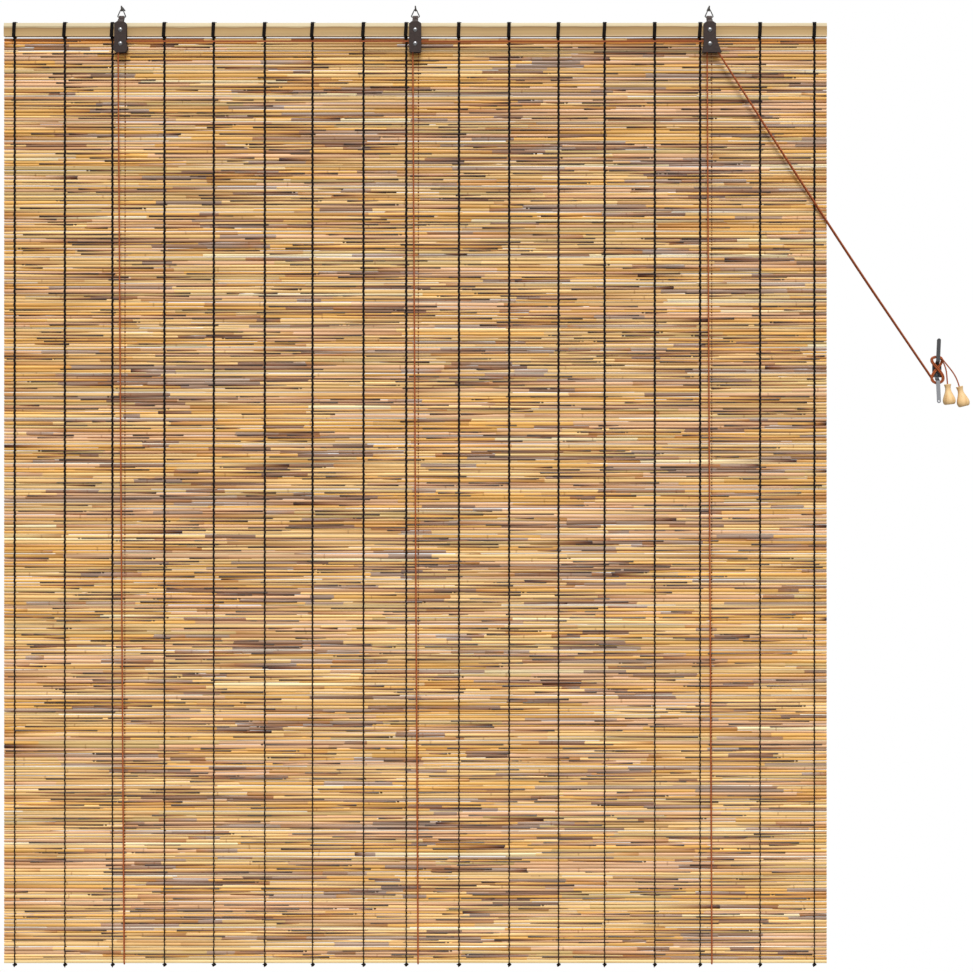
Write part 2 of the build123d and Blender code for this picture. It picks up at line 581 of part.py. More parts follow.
def all_parts():
    rivet_back = HEADRAIL_BACK_Y + RIVET_HEAD_HEIGHT
    parts = {
        "headrail": headrail(),
        "reed_mat": reed_mat(),
        "bottom_slat": bottom_slat(),
        "warp_twines": group(twine(x, side) for x in TWINE_XS for side in (-1, 1)),
        "headrail_wraps": group(headrail_wrap(x) for x in TWINE_XS),
        "bottom_knots": group(bottom_knot(x) for x in TWINE_XS),
        "bracket_rivets": group(
            rivet(RIVET_RADIUS, PLATE_FRONT_Y, rivet_back, x, RIVET_Z) for x in BRACKET_XS.values()
        ),
        "wheel_axles": group(
            rivet(AXLE_RADIUS, PLATE_FRONT_Y, HEADRAIL_FRONT_Y, x, AXLE_Z) for x in BRACKET_XS.values()
        ),
        "cord_staples": group(staple(x) for x in BRACKET_XS.values()),
        "cleat": cleat(),
        "cleat_wrap": cleat_wrap(),
        "cord_tie": cord_tie(),
        "lift_cord_left": lift_cord("left", "front"),
        "lift_cord_centre": lift_cord("centre", "middle"),
        "lift_cord_right": lift_cord("right", "rear"),
        "head_cord_left": head_cord("left", "front"),
        "head_cord_centre": head_cord("centre", "middle"),
        "pull_cord_front": pull_cord("front", "front"),
        "pull_cord_rear": pull_cord("rear", "middle"),
        "pull_tail_inner": pull_tail("inner"),
        "pull_tail_outer": pull_tail("outer"),
        "wood_pull_inner": wood_pull("inner"),
        "wood_pull_outer": wood_pull("outer"),
    }
    for side, x in BRACKET_XS.items():
        parts[f"bracket_{side}"] = bracket(side)
        parts[f"wheel_{side}"] = wheel(x)
        parts[f"ring_{side}"] = ring(x)
        parts[f"hook_{side}"] = hook(x)
    return parts


os.makedirs("parts", exist_ok=True)
for name, shape in all_parts().items():
    export_step(shape, f"parts/{name}.step")
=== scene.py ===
import json
import math
import random

import bpy
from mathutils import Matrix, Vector

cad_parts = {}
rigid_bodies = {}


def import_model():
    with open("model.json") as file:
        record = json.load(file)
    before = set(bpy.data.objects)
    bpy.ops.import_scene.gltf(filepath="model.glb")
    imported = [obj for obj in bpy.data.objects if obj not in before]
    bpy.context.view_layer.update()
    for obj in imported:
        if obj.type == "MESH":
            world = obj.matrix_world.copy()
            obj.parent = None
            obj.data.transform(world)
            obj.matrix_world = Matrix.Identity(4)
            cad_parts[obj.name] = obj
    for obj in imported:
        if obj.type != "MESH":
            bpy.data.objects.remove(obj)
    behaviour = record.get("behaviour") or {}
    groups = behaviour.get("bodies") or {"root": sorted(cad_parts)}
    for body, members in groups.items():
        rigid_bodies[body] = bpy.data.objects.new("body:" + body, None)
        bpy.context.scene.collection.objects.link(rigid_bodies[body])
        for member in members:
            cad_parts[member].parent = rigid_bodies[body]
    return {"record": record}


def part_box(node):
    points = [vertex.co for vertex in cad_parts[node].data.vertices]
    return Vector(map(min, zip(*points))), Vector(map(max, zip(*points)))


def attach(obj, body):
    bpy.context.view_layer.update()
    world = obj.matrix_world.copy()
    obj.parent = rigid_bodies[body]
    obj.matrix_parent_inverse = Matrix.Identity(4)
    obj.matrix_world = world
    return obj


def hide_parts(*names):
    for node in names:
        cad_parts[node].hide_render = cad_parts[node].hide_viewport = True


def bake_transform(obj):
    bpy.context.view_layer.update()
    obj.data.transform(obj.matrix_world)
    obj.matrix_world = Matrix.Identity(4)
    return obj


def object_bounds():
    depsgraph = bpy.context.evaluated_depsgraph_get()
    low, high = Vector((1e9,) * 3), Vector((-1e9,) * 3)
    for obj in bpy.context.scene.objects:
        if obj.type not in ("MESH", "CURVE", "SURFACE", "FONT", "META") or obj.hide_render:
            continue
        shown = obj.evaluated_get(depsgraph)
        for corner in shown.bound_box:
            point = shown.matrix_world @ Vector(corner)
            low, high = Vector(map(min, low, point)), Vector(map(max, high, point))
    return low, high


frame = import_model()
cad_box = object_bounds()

# Reed roll up blind. Metres, in the frame of the solids: the wall is Y = 0 and the front faces -Y.
MM = 0.001
SEED = 20

# Places read from the solids
MAT_LOW, MAT_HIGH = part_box("reed_mat")
RAIL_LOW, RAIL_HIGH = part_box("headrail")
SLAT_LOW, SLAT_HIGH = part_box("bottom_slat")
MAT_Y = (MAT_LOW[1] + MAT_HIGH[1]) / 2
HALF_WIDTH = MAT_HIGH[0]
BRACKET_X = {"left": -0.5, "centre": 0.0, "right": 0.5}
WHEEL_LOW, WHEEL_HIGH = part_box("wheel_right")
WHEEL_Y = (WHEEL_LOW[1] + WHEEL_HIGH[1]) / 2
AXLE_Z = (WHEEL_LOW[2] + WHEEL_HIGH[2]) / 2
CLEAT_LOW, CLEAT_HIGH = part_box("cleat")
CLEAT_X = (CLEAT_LOW[0] + CLEAT_HIGH[0]) / 2
CLEAT_Z = (CLEAT_LOW[2] + CLEAT_HIGH[2]) / 2

# Twine, as shares of the width, and one run beside each bracket
TWINE_SHARES = (
    0.013, 0.074, 0.195, 0.255, 0.317, 0.375, 0.437,
    0.553, 0.614, 0.674, 0.730, 0.791, 0.919, 0.985,
)
TWINE_BESIDE_BRACKET = 15.5 * MM
TWINE_XS = sorted(
    [(share - 0.5) * 2 * HALF_WIDTH for share in TWINE_SHARES]
    + [x - TWINE_BESIDE_BRACKET for x in BRACKET_X.values()]
)

# Cords: the drawn braid stands a little proud of the declared diameter
CORD_DIAMETER = 2.2 * MM
BRAID_PROUD = 0.15 * MM
CORD_SIDES = 8
CORD_CLEARANCE = 0.3 * MM
LANE_PITCH = 2.6 * MM
LANE_Y = {"front": WHEEL_Y - LANE_PITCH, "middle": WHEEL_Y, "rear": WHEEL_Y + LANE_PITCH}
CORD_ON_WHEEL = 4.2 * MM
STRAIGHT_LEAD = 13 * MM
LIFT_TURN = 3.7 * MM
LIFT_DRIFT = 4.5 * MM
LIFT_BACK_SHIFT = 5 * MM
LIFT_END_DROP = 12 * MM

# Camera, from the photo's frame: size of a pixel at the mat, and the picture's centre
PHOTO_WIDTH = 973
METRES_PER_PIXEL = 1.7025 * MM
CAMERA_DISTANCE = 4.5
CAMERA_X = 0.121
CAMERA_Z = -0.816
SENSOR_WIDTH = 36


def linear(red, green, blue):
    """Linear colour from 8-bit screen values."""
    def channel(value):
        value /= 255
        return value / 12.92 if value <= 0.04045 else ((value + 0.055) / 1.055) ** 2.4
    return (channel(red), channel(green), channel(blue), 1.0)


# Materials

NOISE_MIDDLE = (0.3, 0.7)
REED_STREAKS = (0.6, 1.16)
REED_GLOSS_SPAN = (0.35, 0.65)
REED_ROUGHNESS = (0.6, 0.3)
REED_SPECULAR = 0.3
TWINE_SPECULAR = 0.15
WOOD_DETAIL = 6.0
WOOD_BUMP = 0.15
WOOD_BUMP_DEPTH = 0.3 * MM

# Headrail's colours from its underside up: paler at the underside as painted bounce light, a pale band along
# its top as a painted highlight of its lit top edge, and a dark border under that band
RAIL_STOPS_WITH_PAINTED_LIGHT = (
    (0.04, linear(214, 190, 148)), (0.14, linear(195, 162, 113)), (0.37, linear(186, 154, 102)),
    (0.65, linear(173, 137, 86)), (0.71, linear(140, 106, 64)), (0.77, linear(190, 168, 126)),
    (0.92, linear(198, 182, 145)),
)
RAIL_WAVE = 0.24
RAIL_DRIFT = -0.12
RAIL_GRAIN = (0.84, 1.04)


def new_material(name, colour, roughness, metallic=0.0):
    material = bpy.data.materials.new(name)
    material.use_nodes = True
    shader = material.node_tree.nodes["Principled BSDF"]
    shader.inputs["Base Color"].default_value = colour
    shader.inputs["Roughness"].default_value = roughness
    shader.inputs["Metallic"].default_value = metallic
    return material


def shader_input(material, name):
    return material.node_tree.nodes["Principled BSDF"].inputs[name]


def stretched_noise(material, scale, stretch, detail=4.0):
    """Noise in object space, drawn out by the stretch on each axis."""
    nodes, links = material.node_tree.nodes, material.node_tree.links
    place = nodes.new("ShaderNodeTexCoord")
    mapping = nodes.new("ShaderNodeMapping")
    mapping.inputs["Scale"].default_value = stretch
    noise = nodes.new("ShaderNodeTexNoise")
    noise.inputs["Scale"].default_value = scale
    noise.inputs["Detail"].default_value = detail
    links.new(place.outputs["Object"], mapping.inputs["Vector"])
    links.new(mapping.outputs["Vector"], noise.inputs["Vector"])
    return noise.outputs["Fac"]


def ramp_colour(material, source, stops):
    """Base colour from a socket's values through a ramp of (place, colour) stops."""
    nodes, links = material.node_tree.nodes, material.node_tree.links
    ramp = nodes.new("ShaderNodeValToRGB")
    elements = ramp.color_ramp.elements
    while len(elements) < len(stops):
        elements.new(0.5)
    for element, (place, colour) in zip(elements, stops):
        element.position = place
        element.color = colour
    links.new(source, ramp.inputs["Fac"])
    links.new(ramp.outputs["Color"], shader_input(material, "Base Color"))
    return ramp.outputs["Color"]


def bump(material, noise, strength, distance):
    nodes, links = material.node_tree.nodes, material.node_tree.links
    node = nodes.new("ShaderNodeBump")
    node.inputs["Strength"].default_value = strength
    node.inputs["Distance"].default_value = distance
    links.new(noise, node.inputs["Height"])
    links.new(node.outputs["Normal"], shader_input(material, "Normal"))


def multiply_colour(material, first, second):
    """Base colour from two sockets multiplied."""
    nodes, links = material.node_tree.nodes, material.node_tree.links
    mix = nodes.new("ShaderNodeMix")
    mix.data_type = "RGBA"
    mix.blend_type = "MULTIPLY"
    mix.inputs["Factor"].default_value = 1.0
    links.new(first, mix.inputs["A"])
    links.new(second, mix.inputs["B"])
    links.new(mix.outputs["Result"], shader_input(material, "Base Color"))


def multiply_add(material, value, factor, added):
    """A socket's value times a factor, plus another socket's value."""
    nodes, links = material.node_tree.nodes, material.node_tree.links
    node = nodes.new("ShaderNodeMath")
    node.operation = "MULTIPLY_ADD"
    links.new(value, node.inputs[0])
    node.inputs[1].default_value = factor
    links.new(added, node.inputs[2])
    return node.outputs["Value"]


def map_range(owner, value, span, result):
    """A socket's values in the span, mapped to the two values of the result."""
    node = owner.node_tree.nodes.new("ShaderNodeMapRange")
    node.inputs["From Min"].default_value = span[0]
    node.inputs["From Max"].default_value = span[1]
    node.inputs["To Min"].default_value = result[0]
    node.inputs["To Max"].default_value = result[1]
    owner.node_tree.links.new(value, node.inputs["Value"])
    return node.outputs["Result"]


def reed_material():
    """Colour from the reeds' attribute, which also holds the painted light of the rows beside the slots and
    the painted seam shadow of the slivers, broken by fine streaks along them.
    """
    material = new_material("reed", linear(220, 175, 110), 0.45)
    shader_input(material, "Specular IOR Level").default_value = REED_SPECULAR
    nodes, links = material.node_tree.nodes, material.node_tree.links
    own = nodes.new("ShaderNodeVertexColor")
    own.layer_name = "reed_colour_and_painted_light"
    noise = stretched_noise(material, scale=60, stretch=(0.12, 1, 14))
    streaks = map_range(material, noise, NOISE_MIDDLE, REED_STREAKS)
    multiply_colour(material, own.outputs["Color"], streaks)
    gloss = map_range(material, noise, REED_GLOSS_SPAN, REED_ROUGHNESS)
    links.new(gloss, shader_input(material, "Roughness"))
    return material


def rail_material():
    """Pine with a painted highlight as a pale band along its top, a wavy border under it, painted bounce
    light on its underside, and long grain.
    """
    material = new_material("pine", linear(182, 151, 101), 0.55)
    nodes, links = material.node_tree.nodes, material.node_tree.links
    place = nodes.new("ShaderNodeTexCoord")
    axes = nodes.new("ShaderNodeSeparateXYZ")
    links.new(place.outputs["Generated"], axes.inputs["Vector"])
    waves = stretched_noise(material, scale=12, stretch=(1, 0, 0), detail=3.0)
    drifted = multiply_add(material, axes.outputs["X"], RAIL_DRIFT, axes.outputs["Z"])
    height = multiply_add(material, waves, RAIL_WAVE, drifted)
    # The ramp paints light: bounce light on the underside and a highlight along the lit top edge.
    bands = ramp_colour(material, height, RAIL_STOPS_WITH_PAINTED_LIGHT)
    grain = stretched_noise(material, scale=40, stretch=(0.06, 1, 5), detail=WOOD_DETAIL)
    multiply_colour(material, bands, map_range(material, grain, NOISE_MIDDLE, RAIL_GRAIN))
    bump(material, grain, WOOD_BUMP, WOOD_BUMP_DEPTH)
    return material


def wood_material(name, dark, pale, scale, stretch, roughness):
    material = new_material(name, pale, roughness)
    noise = stretched_noise(material, scale, stretch, WOOD_DETAIL)
    ramp_colour(material, noise, [(0.3, dark), (0.55, pale), (0.75, pale)])
    bump(material, noise, WOOD_BUMP, WOOD_BUMP_DEPTH)
    return material


def twine_material():
    material = new_material("black_twine", linear(20, 17, 15), 0.9)
    noise = stretched_noise(material, scale=900, stretch=(1, 1, 0.5))
    ramp_colour(material, noise, [(0.35, linear(10, 8, 7)), (0.7, linear(34, 28, 25))])
    shader_input(material, "Specular IOR Level").default_value = TWINE_SPECULAR
    return material


def cord_material():
    material = new_material("terracotta_cord", linear(170, 88, 44), 0.7)
    noise = stretched_noise(material, scale=1400, stretch=(1, 1, 0.6))
    ramp_colour(material, noise, [(0.3, linear(122, 52, 14)), (0.7, linear(180, 90, 34))])
    return material


def sheet_material():
    material = new_material("black_sheet", linear(58, 46, 42), 0.45, 0.3)
    noise = stretched_noise(material, scale=300, stretch=(1, 1, 1))
    ramp_colour(material, noise, [(0.3, linear(45, 33, 29)), (0.7, linear(61, 47, 43))])
    return material


MATERIALS = {
    "reed": reed_material(),
    "pine": rail_material(),
    "bamboo": wood_material(
        "bamboo", dark=linear(205, 170, 105), pale=linear(232, 205, 150),
        scale=50, stretch=(0.08, 1, 6), roughness=0.4,
    ),
    "turned_wood": wood_material(
        "turned_wood", dark=linear(196, 152, 96), pale=linear(224, 188, 134),
        scale=120, stretch=(1, 1, 0.25), roughness=0.55,
    ),
    "black_twine": twine_material(),
    "terracotta_cord": cord_material(),
    "black_sheet": sheet_material(),
    "rivet_steel": new_material("rivet_steel", linear(150, 150, 152), 0.36, 1.0),
    "ring_wire": new_material("ring_wire", linear(104, 102, 100), 0.3, 1.0),
    "hook_steel": new_material("hook_steel", linear(112, 108, 105), 0.38, 1.0),
    "staple_steel": new_material("staple_steel", linear(185, 185, 185), 0.3, 1.0),
    "cleat_steel": new_material("cleat_steel", linear(112, 113, 116), 0.6, 1.0),
    "wheel_plastic": new_material("wheel_plastic", linear(225, 222, 212), 0.5),
}


# Meshes

SMOOTH_ANGLE = 50
SPLINE_RESOLUTION = 10
NEARLY_ALONG = 0.9


class Build:
    """Vertices, faces and colours gathered for one mesh."""

    def __init__(self):
        self.vertices = []
        self.faces = []
        self.colours = []

    def ring(self, centre, outline, axes, colour=None):
        """Ring of points round a centre, from an outline on two axes, and its first index."""
        first = len(self.vertices)
        right, up = axes
        for across, along in outline:
            self.vertices.append(tuple(c + r * across + u * along for c, r, u in zip(centre, right, up)))
            self.colours.append(colour)
        return first

    def bridge(self, rings, sides):
        """Faces between each ring and the next."""
        for first, second in zip(rings, rings[1:]):
            for i in range(sides):
                j = (i + 1) % sides
                self.faces.append((first + i, first + j, second + j, second + i))

    def cap_ends(self, rings, sides):
        """Faces that close the first and the last ring."""
        self.faces.append(tuple(rings[0] + i for i in reversed(range(sides))))
        self.faces.append(tuple(rings[-1] + i for i in range(sides)))

    def finish(self, name, slot, body, replaced=()):
        """Object with its material, on a body if one is given, in place of the replaced nodes."""
        mesh = bpy.data.meshes.new(name)
        mesh.from_pydata(self.vertices, [], self.faces)
        if self.colours[0] is not None:
            layer = mesh.color_attributes.new("reed_colour_and_painted_light", "FLOAT_COLOR", "POINT")
            layer.data.foreach_set("color", [value for colour in self.colours for value in colour])
        mesh.shade_smooth()
        mesh.set_sharp_from_angle(angle=math.radians(SMOOTH_ANGLE))
        piece = bpy.data.objects.new(name, mesh)
        bpy.context.scene.collection.objects.link(piece)
        piece.data.materials.append(MATERIALS[slot])
        if body:
            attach(piece, body)
        if replaced:
            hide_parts(*replaced)
        return piece


def circle(sides):
    angles = [2 * math.pi * i / sides for i in range(sides)]
    return [(math.cos(angle), math.sin(angle)) for angle in angles]


def add_tube(build, points, radii, sides, flat=1.0):
    """Tube along points. radii is one size or one for each point; flat thins an upright tube in depth."""
    points = [Vector(p) for p in points]
    if not hasattr(radii, "__len__"):
        radii = [radii] * len(points)
    outline = circle(sides)
    side = None
    rings = []
    for i, point in enumerate(points):
        ahead = points[min(i + 1, len(points) - 1)] - points[max(i - 1, 0)]
        ahead.normalize()
        if side is None:
            side = Vector((1, 0, 0)) if abs(ahead.x) < NEARLY_ALONG else Vector((0, 0, 1))
        side = side - ahead * side.dot(ahead)
        side.normalize()
        other = ahead.cross(side)
        rings.append(build.ring(point, outline, (side * radii[i], other * radii[i] * flat)))
    build.bridge(rings, sides)
    build.cap_ends(rings, sides)


def spline_points(points):
    """Points along the NURBS spline that has a route's points as its control points."""
    curve = bpy.data.curves.new("route", "CURVE")
    curve.dimensions = "3D"
    curve.resolution_u = SPLINE_RESOLUTION
    spline = curve.splines.new("NURBS")
    spline.points.add(len(points) - 1)
    for control, point in zip(spline.points, points):
        control.co = (*point, 1)
    spline.order_u = 3
    spline.use_endpoint_u = True
    holder = bpy.data.objects.new("route", curve)
    bpy.context.scene.collection.objects.link(holder)
    bpy.context.view_layer.update()
    graph = bpy.context.evaluated_depsgraph_get()
    mesh = bpy.data.meshes.new_from_object(holder.evaluated_get(graph))
    found = [vertex.co.copy() for vertex in mesh.vertices]
    bpy.data.meshes.remove(mesh)
    bpy.data.objects.remove(holder)
    bpy.data.curves.remove(curve)
    return found


def dress_nodes():
    """Each solid that stays in view gets its slot's material."""
    for part in frame["record"]["subparts"]:
        node = bpy.data.objects[part["node"]]
        node.data.materials.clear()
        node.data.materials.append(MATERIALS[part["material_slot"]])


# Reed mat: rows of reeds packed tight between the open slots that the solid mat has

REED_SIDES = 8
REED_COLOURS = (
    (0.41, linear(236, 193, 126)), (0.25, linear(232, 177, 94)), (0.20, linear(224, 176, 130)),
    (0.03, linear(248, 226, 176)), (0.03, linear(172, 143, 119)), (0.08, linear(212, 178, 116)),
)
TOP_ROW_COLOURS = (
    (0.45, linear(222, 150, 66)), (0.35, linear(176, 108, 44)), (0.2, linear(232, 186, 116)),
)
# Colours of the thin seam reeds, partly painted shadow along the seams
SEAM_SLIVER_AND_SHADE_COLOURS = (
    (0.36, linear(146, 80, 30)), (0.36, linear(124, 100, 90)), (0.28, linear(190, 126, 48)),
)
GREY_COLOURS = (
    (0.6, linear(170, 140, 118)), (0.4, linear(152, 114, 86)),
)
# Painted light: near-white colours of the thin rows beside the open slots, standing in for light through the
# slits
SLIT_LIGHT_PAINT_COLOURS = (
    (0.6, linear(252, 240, 222)), (0.4, linear(240, 214, 166)),
)
DARK_END = linear(54, 26, 8)
BROWN_END = linear(126, 66, 20)
TAN_END = linear(178, 116, 58)
TINTS = (0.82, 1.1)

# Slots of the solid mat: each spans a few gaps between twines
RIDGE_COUNT = 286
SLOT_COUNT = 40
SLOT_HEIGHT = 1.0 * MM
SLOT_MARGIN = 6 * MM
SLOT_STRIDE = 5
SLOT_SPANS = (2, 3, 4)

# Rows and the reeds in them
ROW_THICKNESS = 5.3 * MM
ROW_SHARES = (0.72, 1.28)
ROW_FILL = 1.04
TOP_ROWS = 2
# Thin rows of painted slit light: their size as a share of the slot's height, and how far forward they sit
PALE_ROW_SIZE = 1.8
PALE_FORWARD = 1.2 * MM
SHORTEST_REED = 0.03
REED_LENGTHS = (0.10, 0.40)
GREY_LENGTHS = (0.03, 0.12)
GREY_SHARE = 0.28
REED_DEPTH = 4.4 * MM
REED_ROUNDNESS = 0.95
REED_SLOPE = 0.5 * MM
REED_BOW = 0.35 * MM
REED_SHIFT = 0.35 * MM
REED_OVERLAP = 1.5 * MM
REED_TAPERS = (0.8, 1.0)
REED_END_SIZE = 0.9
END_STATIONS = (1.5 * MM, 12 * MM, 40 * MM)
STATION_SPACING = 0.07

# Colour along a reed: where each fade starts, and over what share of the length it runs
ROOT_SHARE = 0.02
ROOT_FROM = 0.5
ROOT_BROWNING = 2.4
ROOT_DARK_FADE = (0.86, 0.14)
TAN_SHARE = 0.5
TAN_DEPTHS = (0.3, 0.9)
TAN_FADE = (0.4, 0.6)
NODE_SHARE = 0.3
NODE_PLACES = (0.2, 0.8)
NODE_REACH = 2 * MM
NODE_HALF_WIDTH = 0.5 * MM
NODE_SIZE = 1.07
NODE_BROWN = 0.5

# Thin dark reeds in the seams, some with a dash beyond the blunt end. Their dark brown is partly painted
# shadow along the seams between rows
SLIVERS_PER_SEAM = 8.6
SLIVER_SIDES = 6
SLIVER_LENGTHS = (0.03, 0.16)
SLIVER_SIZES = (1.7 * MM, 3.3 * MM)
SLIVER_FORWARD = 1.6 * MM
SLIVER_SLOPE = 0.5 * MM
SLIVER_STATIONS = (0.0, 0.02, 0.15, 0.35, 0.6, 0.85, 1.0)
SLIVER_TAPER = 0.75
SLIVER_BROWN_FADE = (0.1, 0.4)
SLIVER_BASE_FADE = (0.45, 0.5)
DASH_SHARE = 0.18
DASH_GAP = 2 * MM
DASH_LENGTH = 4 * MM
DASH_SIZE = 0.4
DASH_PROFILE = ((0, 0.4), (0.25, 1), (0.75, 1), (1, 0.4))
DASH_MARGIN = 10 * MM

# Reeds are pinched where the lift cords behind the mat show
GROOVE_SIZE = 0.5
GROOVE_STEPS = (-1.05 * MM, -0.6 * MM, 0.6 * MM, 1.05 * MM)
GROOVE_HALF_WIDTH = 0.8 * MM
GROOVE_END_MARGIN = 2 * MM
MAT_BANDS = 4


def blend_colour(first, second, share):
    share = min(max(share, 0.0), 1.0)
    return tuple(a + (b - a) * share for a, b in zip(first, second))


def fade(along, start_and_length):
    start, length = start_and_length
    return (along - start) / length


def pick_colour(rng, choices):
    roll = rng.random()
    for weight, colour in choices:
        roll -= weight
        if roll < 0:
            break
    tint = rng.uniform(*TINTS)
    return tuple(min(1.0, value * tint) for value in colour[:3]) + (1.0,)


def add_stalk(build, stations, sides):
    """Stalk along X from (centre, half depth, half height, colour) stations."""
    outline = circle(sides)
    rings = []
    for centre, deep, high, colour in stations:
        rings.append(build.ring(centre, outline, ((0, deep, 0), (0, 0, high)), colour))
    build.bridge(rings, sides)
    build.cap_ends(rings, sides)


def groove_xs(z):
    """Where the lift cords behind the mat show between the reeds, seen from the front."""
    rise = (z - MAT_LOW[2]) / (RAIL_HIGH[2] - MAT_LOW[2])
    behind = LIFT_TURN * (1 + rise)
    found = []
    for x in BRACKET_X.values():
        cord_x = x + LIFT_DRIFT + (LIFT_BACK_SHIFT - LIFT_DRIFT) * rise
        found.append(cord_x + (CAMERA_X - cord_x) * behind / CAMERA_DISTANCE)
    return found


def reed_stations(start, length, node, grooves):
    """Shares of a reed's length that get a ring: its ends, its node, its grooves and steps between."""
    stations = {0.0, 1.0}
    for near in END_STATIONS:
        if near < length / 2:
            stations.update((near / length, 1 - near / length))
    count = int(length / STATION_SPACING)
    stations.update((i + 1) / (count + 1) for i in range(count))
    if node:
        stations.update((node - NODE_REACH / length, node, node + NODE_REACH / length))
    for x in grooves:
        for step in GROOVE_STEPS:
            if GROOVE_END_MARGIN < x + step - start < length - GROOVE_END_MARGIN:
                stations.add((x + step - start) / length)
    return sorted(stations)


def add_reed(build, rng, start, end, middle_z, thickness, choices, forward=0.0):
    """One reed, with a slight slope, a bow, a taper and sometimes a node or a dark root."""
    length = end - start
    grooves = groove_xs(middle_z)
    base = pick_colour(rng, choices)
    root = rng.random() < ROOT_SHARE
    tan = rng.uniform(*TAN_DEPTHS) if rng.random() < TAN_SHARE else 0
    flip = rng.random() < 0.5
    node = rng.uniform(*NODE_PLACES) if rng.random() < NODE_SHARE else None
    taper = rng.uniform(*REED_TAPERS)
    slope = rng.uniform(-REED_SLOPE, REED_SLOPE)
    bow = rng.uniform(-REED_BOW, REED_BOW)
    shift = rng.uniform(-REED_SHIFT, REED_SHIFT)
    made = []
    for share in reed_stations(start, length, node, grooves):
        along = 1 - share if flip else share
        x = start + length * share
        high = thickness / 2 * (taper + (1 - taper) * along) * ROW_FILL
        if share in (0.0, 1.0):
            high *= REED_END_SIZE
        colour = blend_colour(base, TAN_END, tan * fade(along, TAN_FADE))
        if root and along > ROOT_FROM:
            colour = blend_colour(base, BROWN_END, (along - ROOT_FROM) * ROOT_BROWNING)
            colour = blend_colour(colour, DARK_END, fade(along, ROOT_DARK_FADE))
        if node and abs(share - node) < NODE_HALF_WIDTH / length:
            high *= NODE_SIZE
            colour = blend_colour(colour, BROWN_END, NODE_BROWN)
        if any(abs(x - groove_x) < GROOVE_HALF_WIDTH for groove_x in grooves):
            high *= GROOVE_SIZE
        z = middle_z + slope * (share - 0.5) + bow * math.sin(math.pi * share)
        deep = min(REED_DEPTH / 2, high * REED_ROUNDNESS)
        made.append(((x, MAT_Y + shift - forward, z), deep, high, colour))
    add_stalk(build, made, REED_SIDES)


def add_sliver_and_seam_shade(build, rng, start, length, middle_z, thickness):
    """Thin dark reed pressed into the seam between two rows, blunt at one end. Its dark brown is partly
    painted shadow in the seam.
    """
    base = pick_colour(rng, SEAM_SLIVER_AND_SHADE_COLOURS)
    flip = rng.random() < 0.5
    slope = rng.uniform(-SLIVER_SLOPE, SLIVER_SLOPE)
    y = MAT_Y - SLIVER_FORWARD
    made = []
    for share in SLIVER_STATIONS:
        along = 1 - share if flip else share
        high = thickness / 2 * (1 - SLIVER_TAPER * along ** 2)
        colour = blend_colour(DARK_END, BROWN_END, fade(along, SLIVER_BROWN_FADE))
        colour = blend_colour(colour, base, fade(along, SLIVER_BASE_FADE))
        centre = (start + length * share, y, middle_z + slope * (share - 0.5))
        made.append((centre, high, high, colour))
    add_stalk(build, made, SLIVER_SIDES)
    dash_x = start + length + DASH_GAP if flip else start - DASH_GAP - DASH_LENGTH
    if rng.random() < DASH_SHARE and abs(dash_x) < HALF_WIDTH - DASH_MARGIN:
        dash = []
        for share, size in DASH_PROFILE:
            high = thickness * DASH_SIZE * size
            dash.append(((dash_x + share * DASH_LENGTH, y, middle_z), high, high, DARK_END))
        add_stalk(build, dash, SLIVER_SIDES)


def mat_slots():
    """Open slots of the solid mat: height, and where each starts and ends across the width."""
    step = (MAT_HIGH[2] - MAT_LOW[2]) / RIDGE_COUNT
    slots = []
    for i in range(SLOT_COUNT):
        row = round((i + 0.5) * RIDGE_COUNT / SLOT_COUNT / 2) * 2
        first = i * SLOT_STRIDE % (len(TWINE_XS) - SLOT_SPANS[-1])
        last = first + SLOT_SPANS[i % len(SLOT_SPANS)]
        slots.append((MAT_HIGH[2] - row * step, TWINE_XS[first] + SLOT_MARGIN, TWINE_XS[last] - SLOT_MARGIN))
    return slots


def reed_rows(rng, slots):
    """Middle height and thickness of each row of reeds, from the top down."""
    edges = [MAT_HIGH[2]]
    for z, start, end in slots:
        edges += [z + SLOT_HEIGHT / 2, z - SLOT_HEIGHT / 2]
    edges.append(MAT_LOW[2])
    rows = []
    for top, bottom in zip(edges[::2], edges[1::2]):
        sizes = [rng.uniform(*ROW_SHARES) for i in range(round((top - bottom) / ROW_THICKNESS))]
        scale = (top - bottom) / sum(sizes)
        for size in sizes:
            rows.append((top - size * scale / 2, size * scale))
            top -= size * scale
    return rows


def add_row(build, rng, from_x, to_x, middle_z, thickness, choices, forward=0.0):
    """Reeds laid end to end, cut off at both ends of the row."""
    start = from_x
    end = start + rng.uniform(SHORTEST_REED, REED_LENGTHS[1])
    picked = choices
    while start < to_x:
        if to_x - end < SHORTEST_REED:
            end = to_x
        add_reed(build, rng, start, min(end + REED_OVERLAP, to_x), middle_z, thickness, picked, forward)
        start = end
        grey = choices is REED_COLOURS and rng.random() < GREY_SHARE
        picked = GREY_COLOURS if grey else choices
        end = start + rng.uniform(*(GREY_LENGTHS if grey else REED_LENGTHS))


def add_seam(build, rng, middle_z):
    count = int(SLIVERS_PER_SEAM + rng.random())
    for i in range(count):
        length = rng.uniform(*SLIVER_LENGTHS)
        start = rng.uniform(-HALF_WIDTH, HALF_WIDTH - length)
        add_sliver_and_seam_shade(build, rng, start, length, middle_z, rng.uniform(*SLIVER_SIZES))


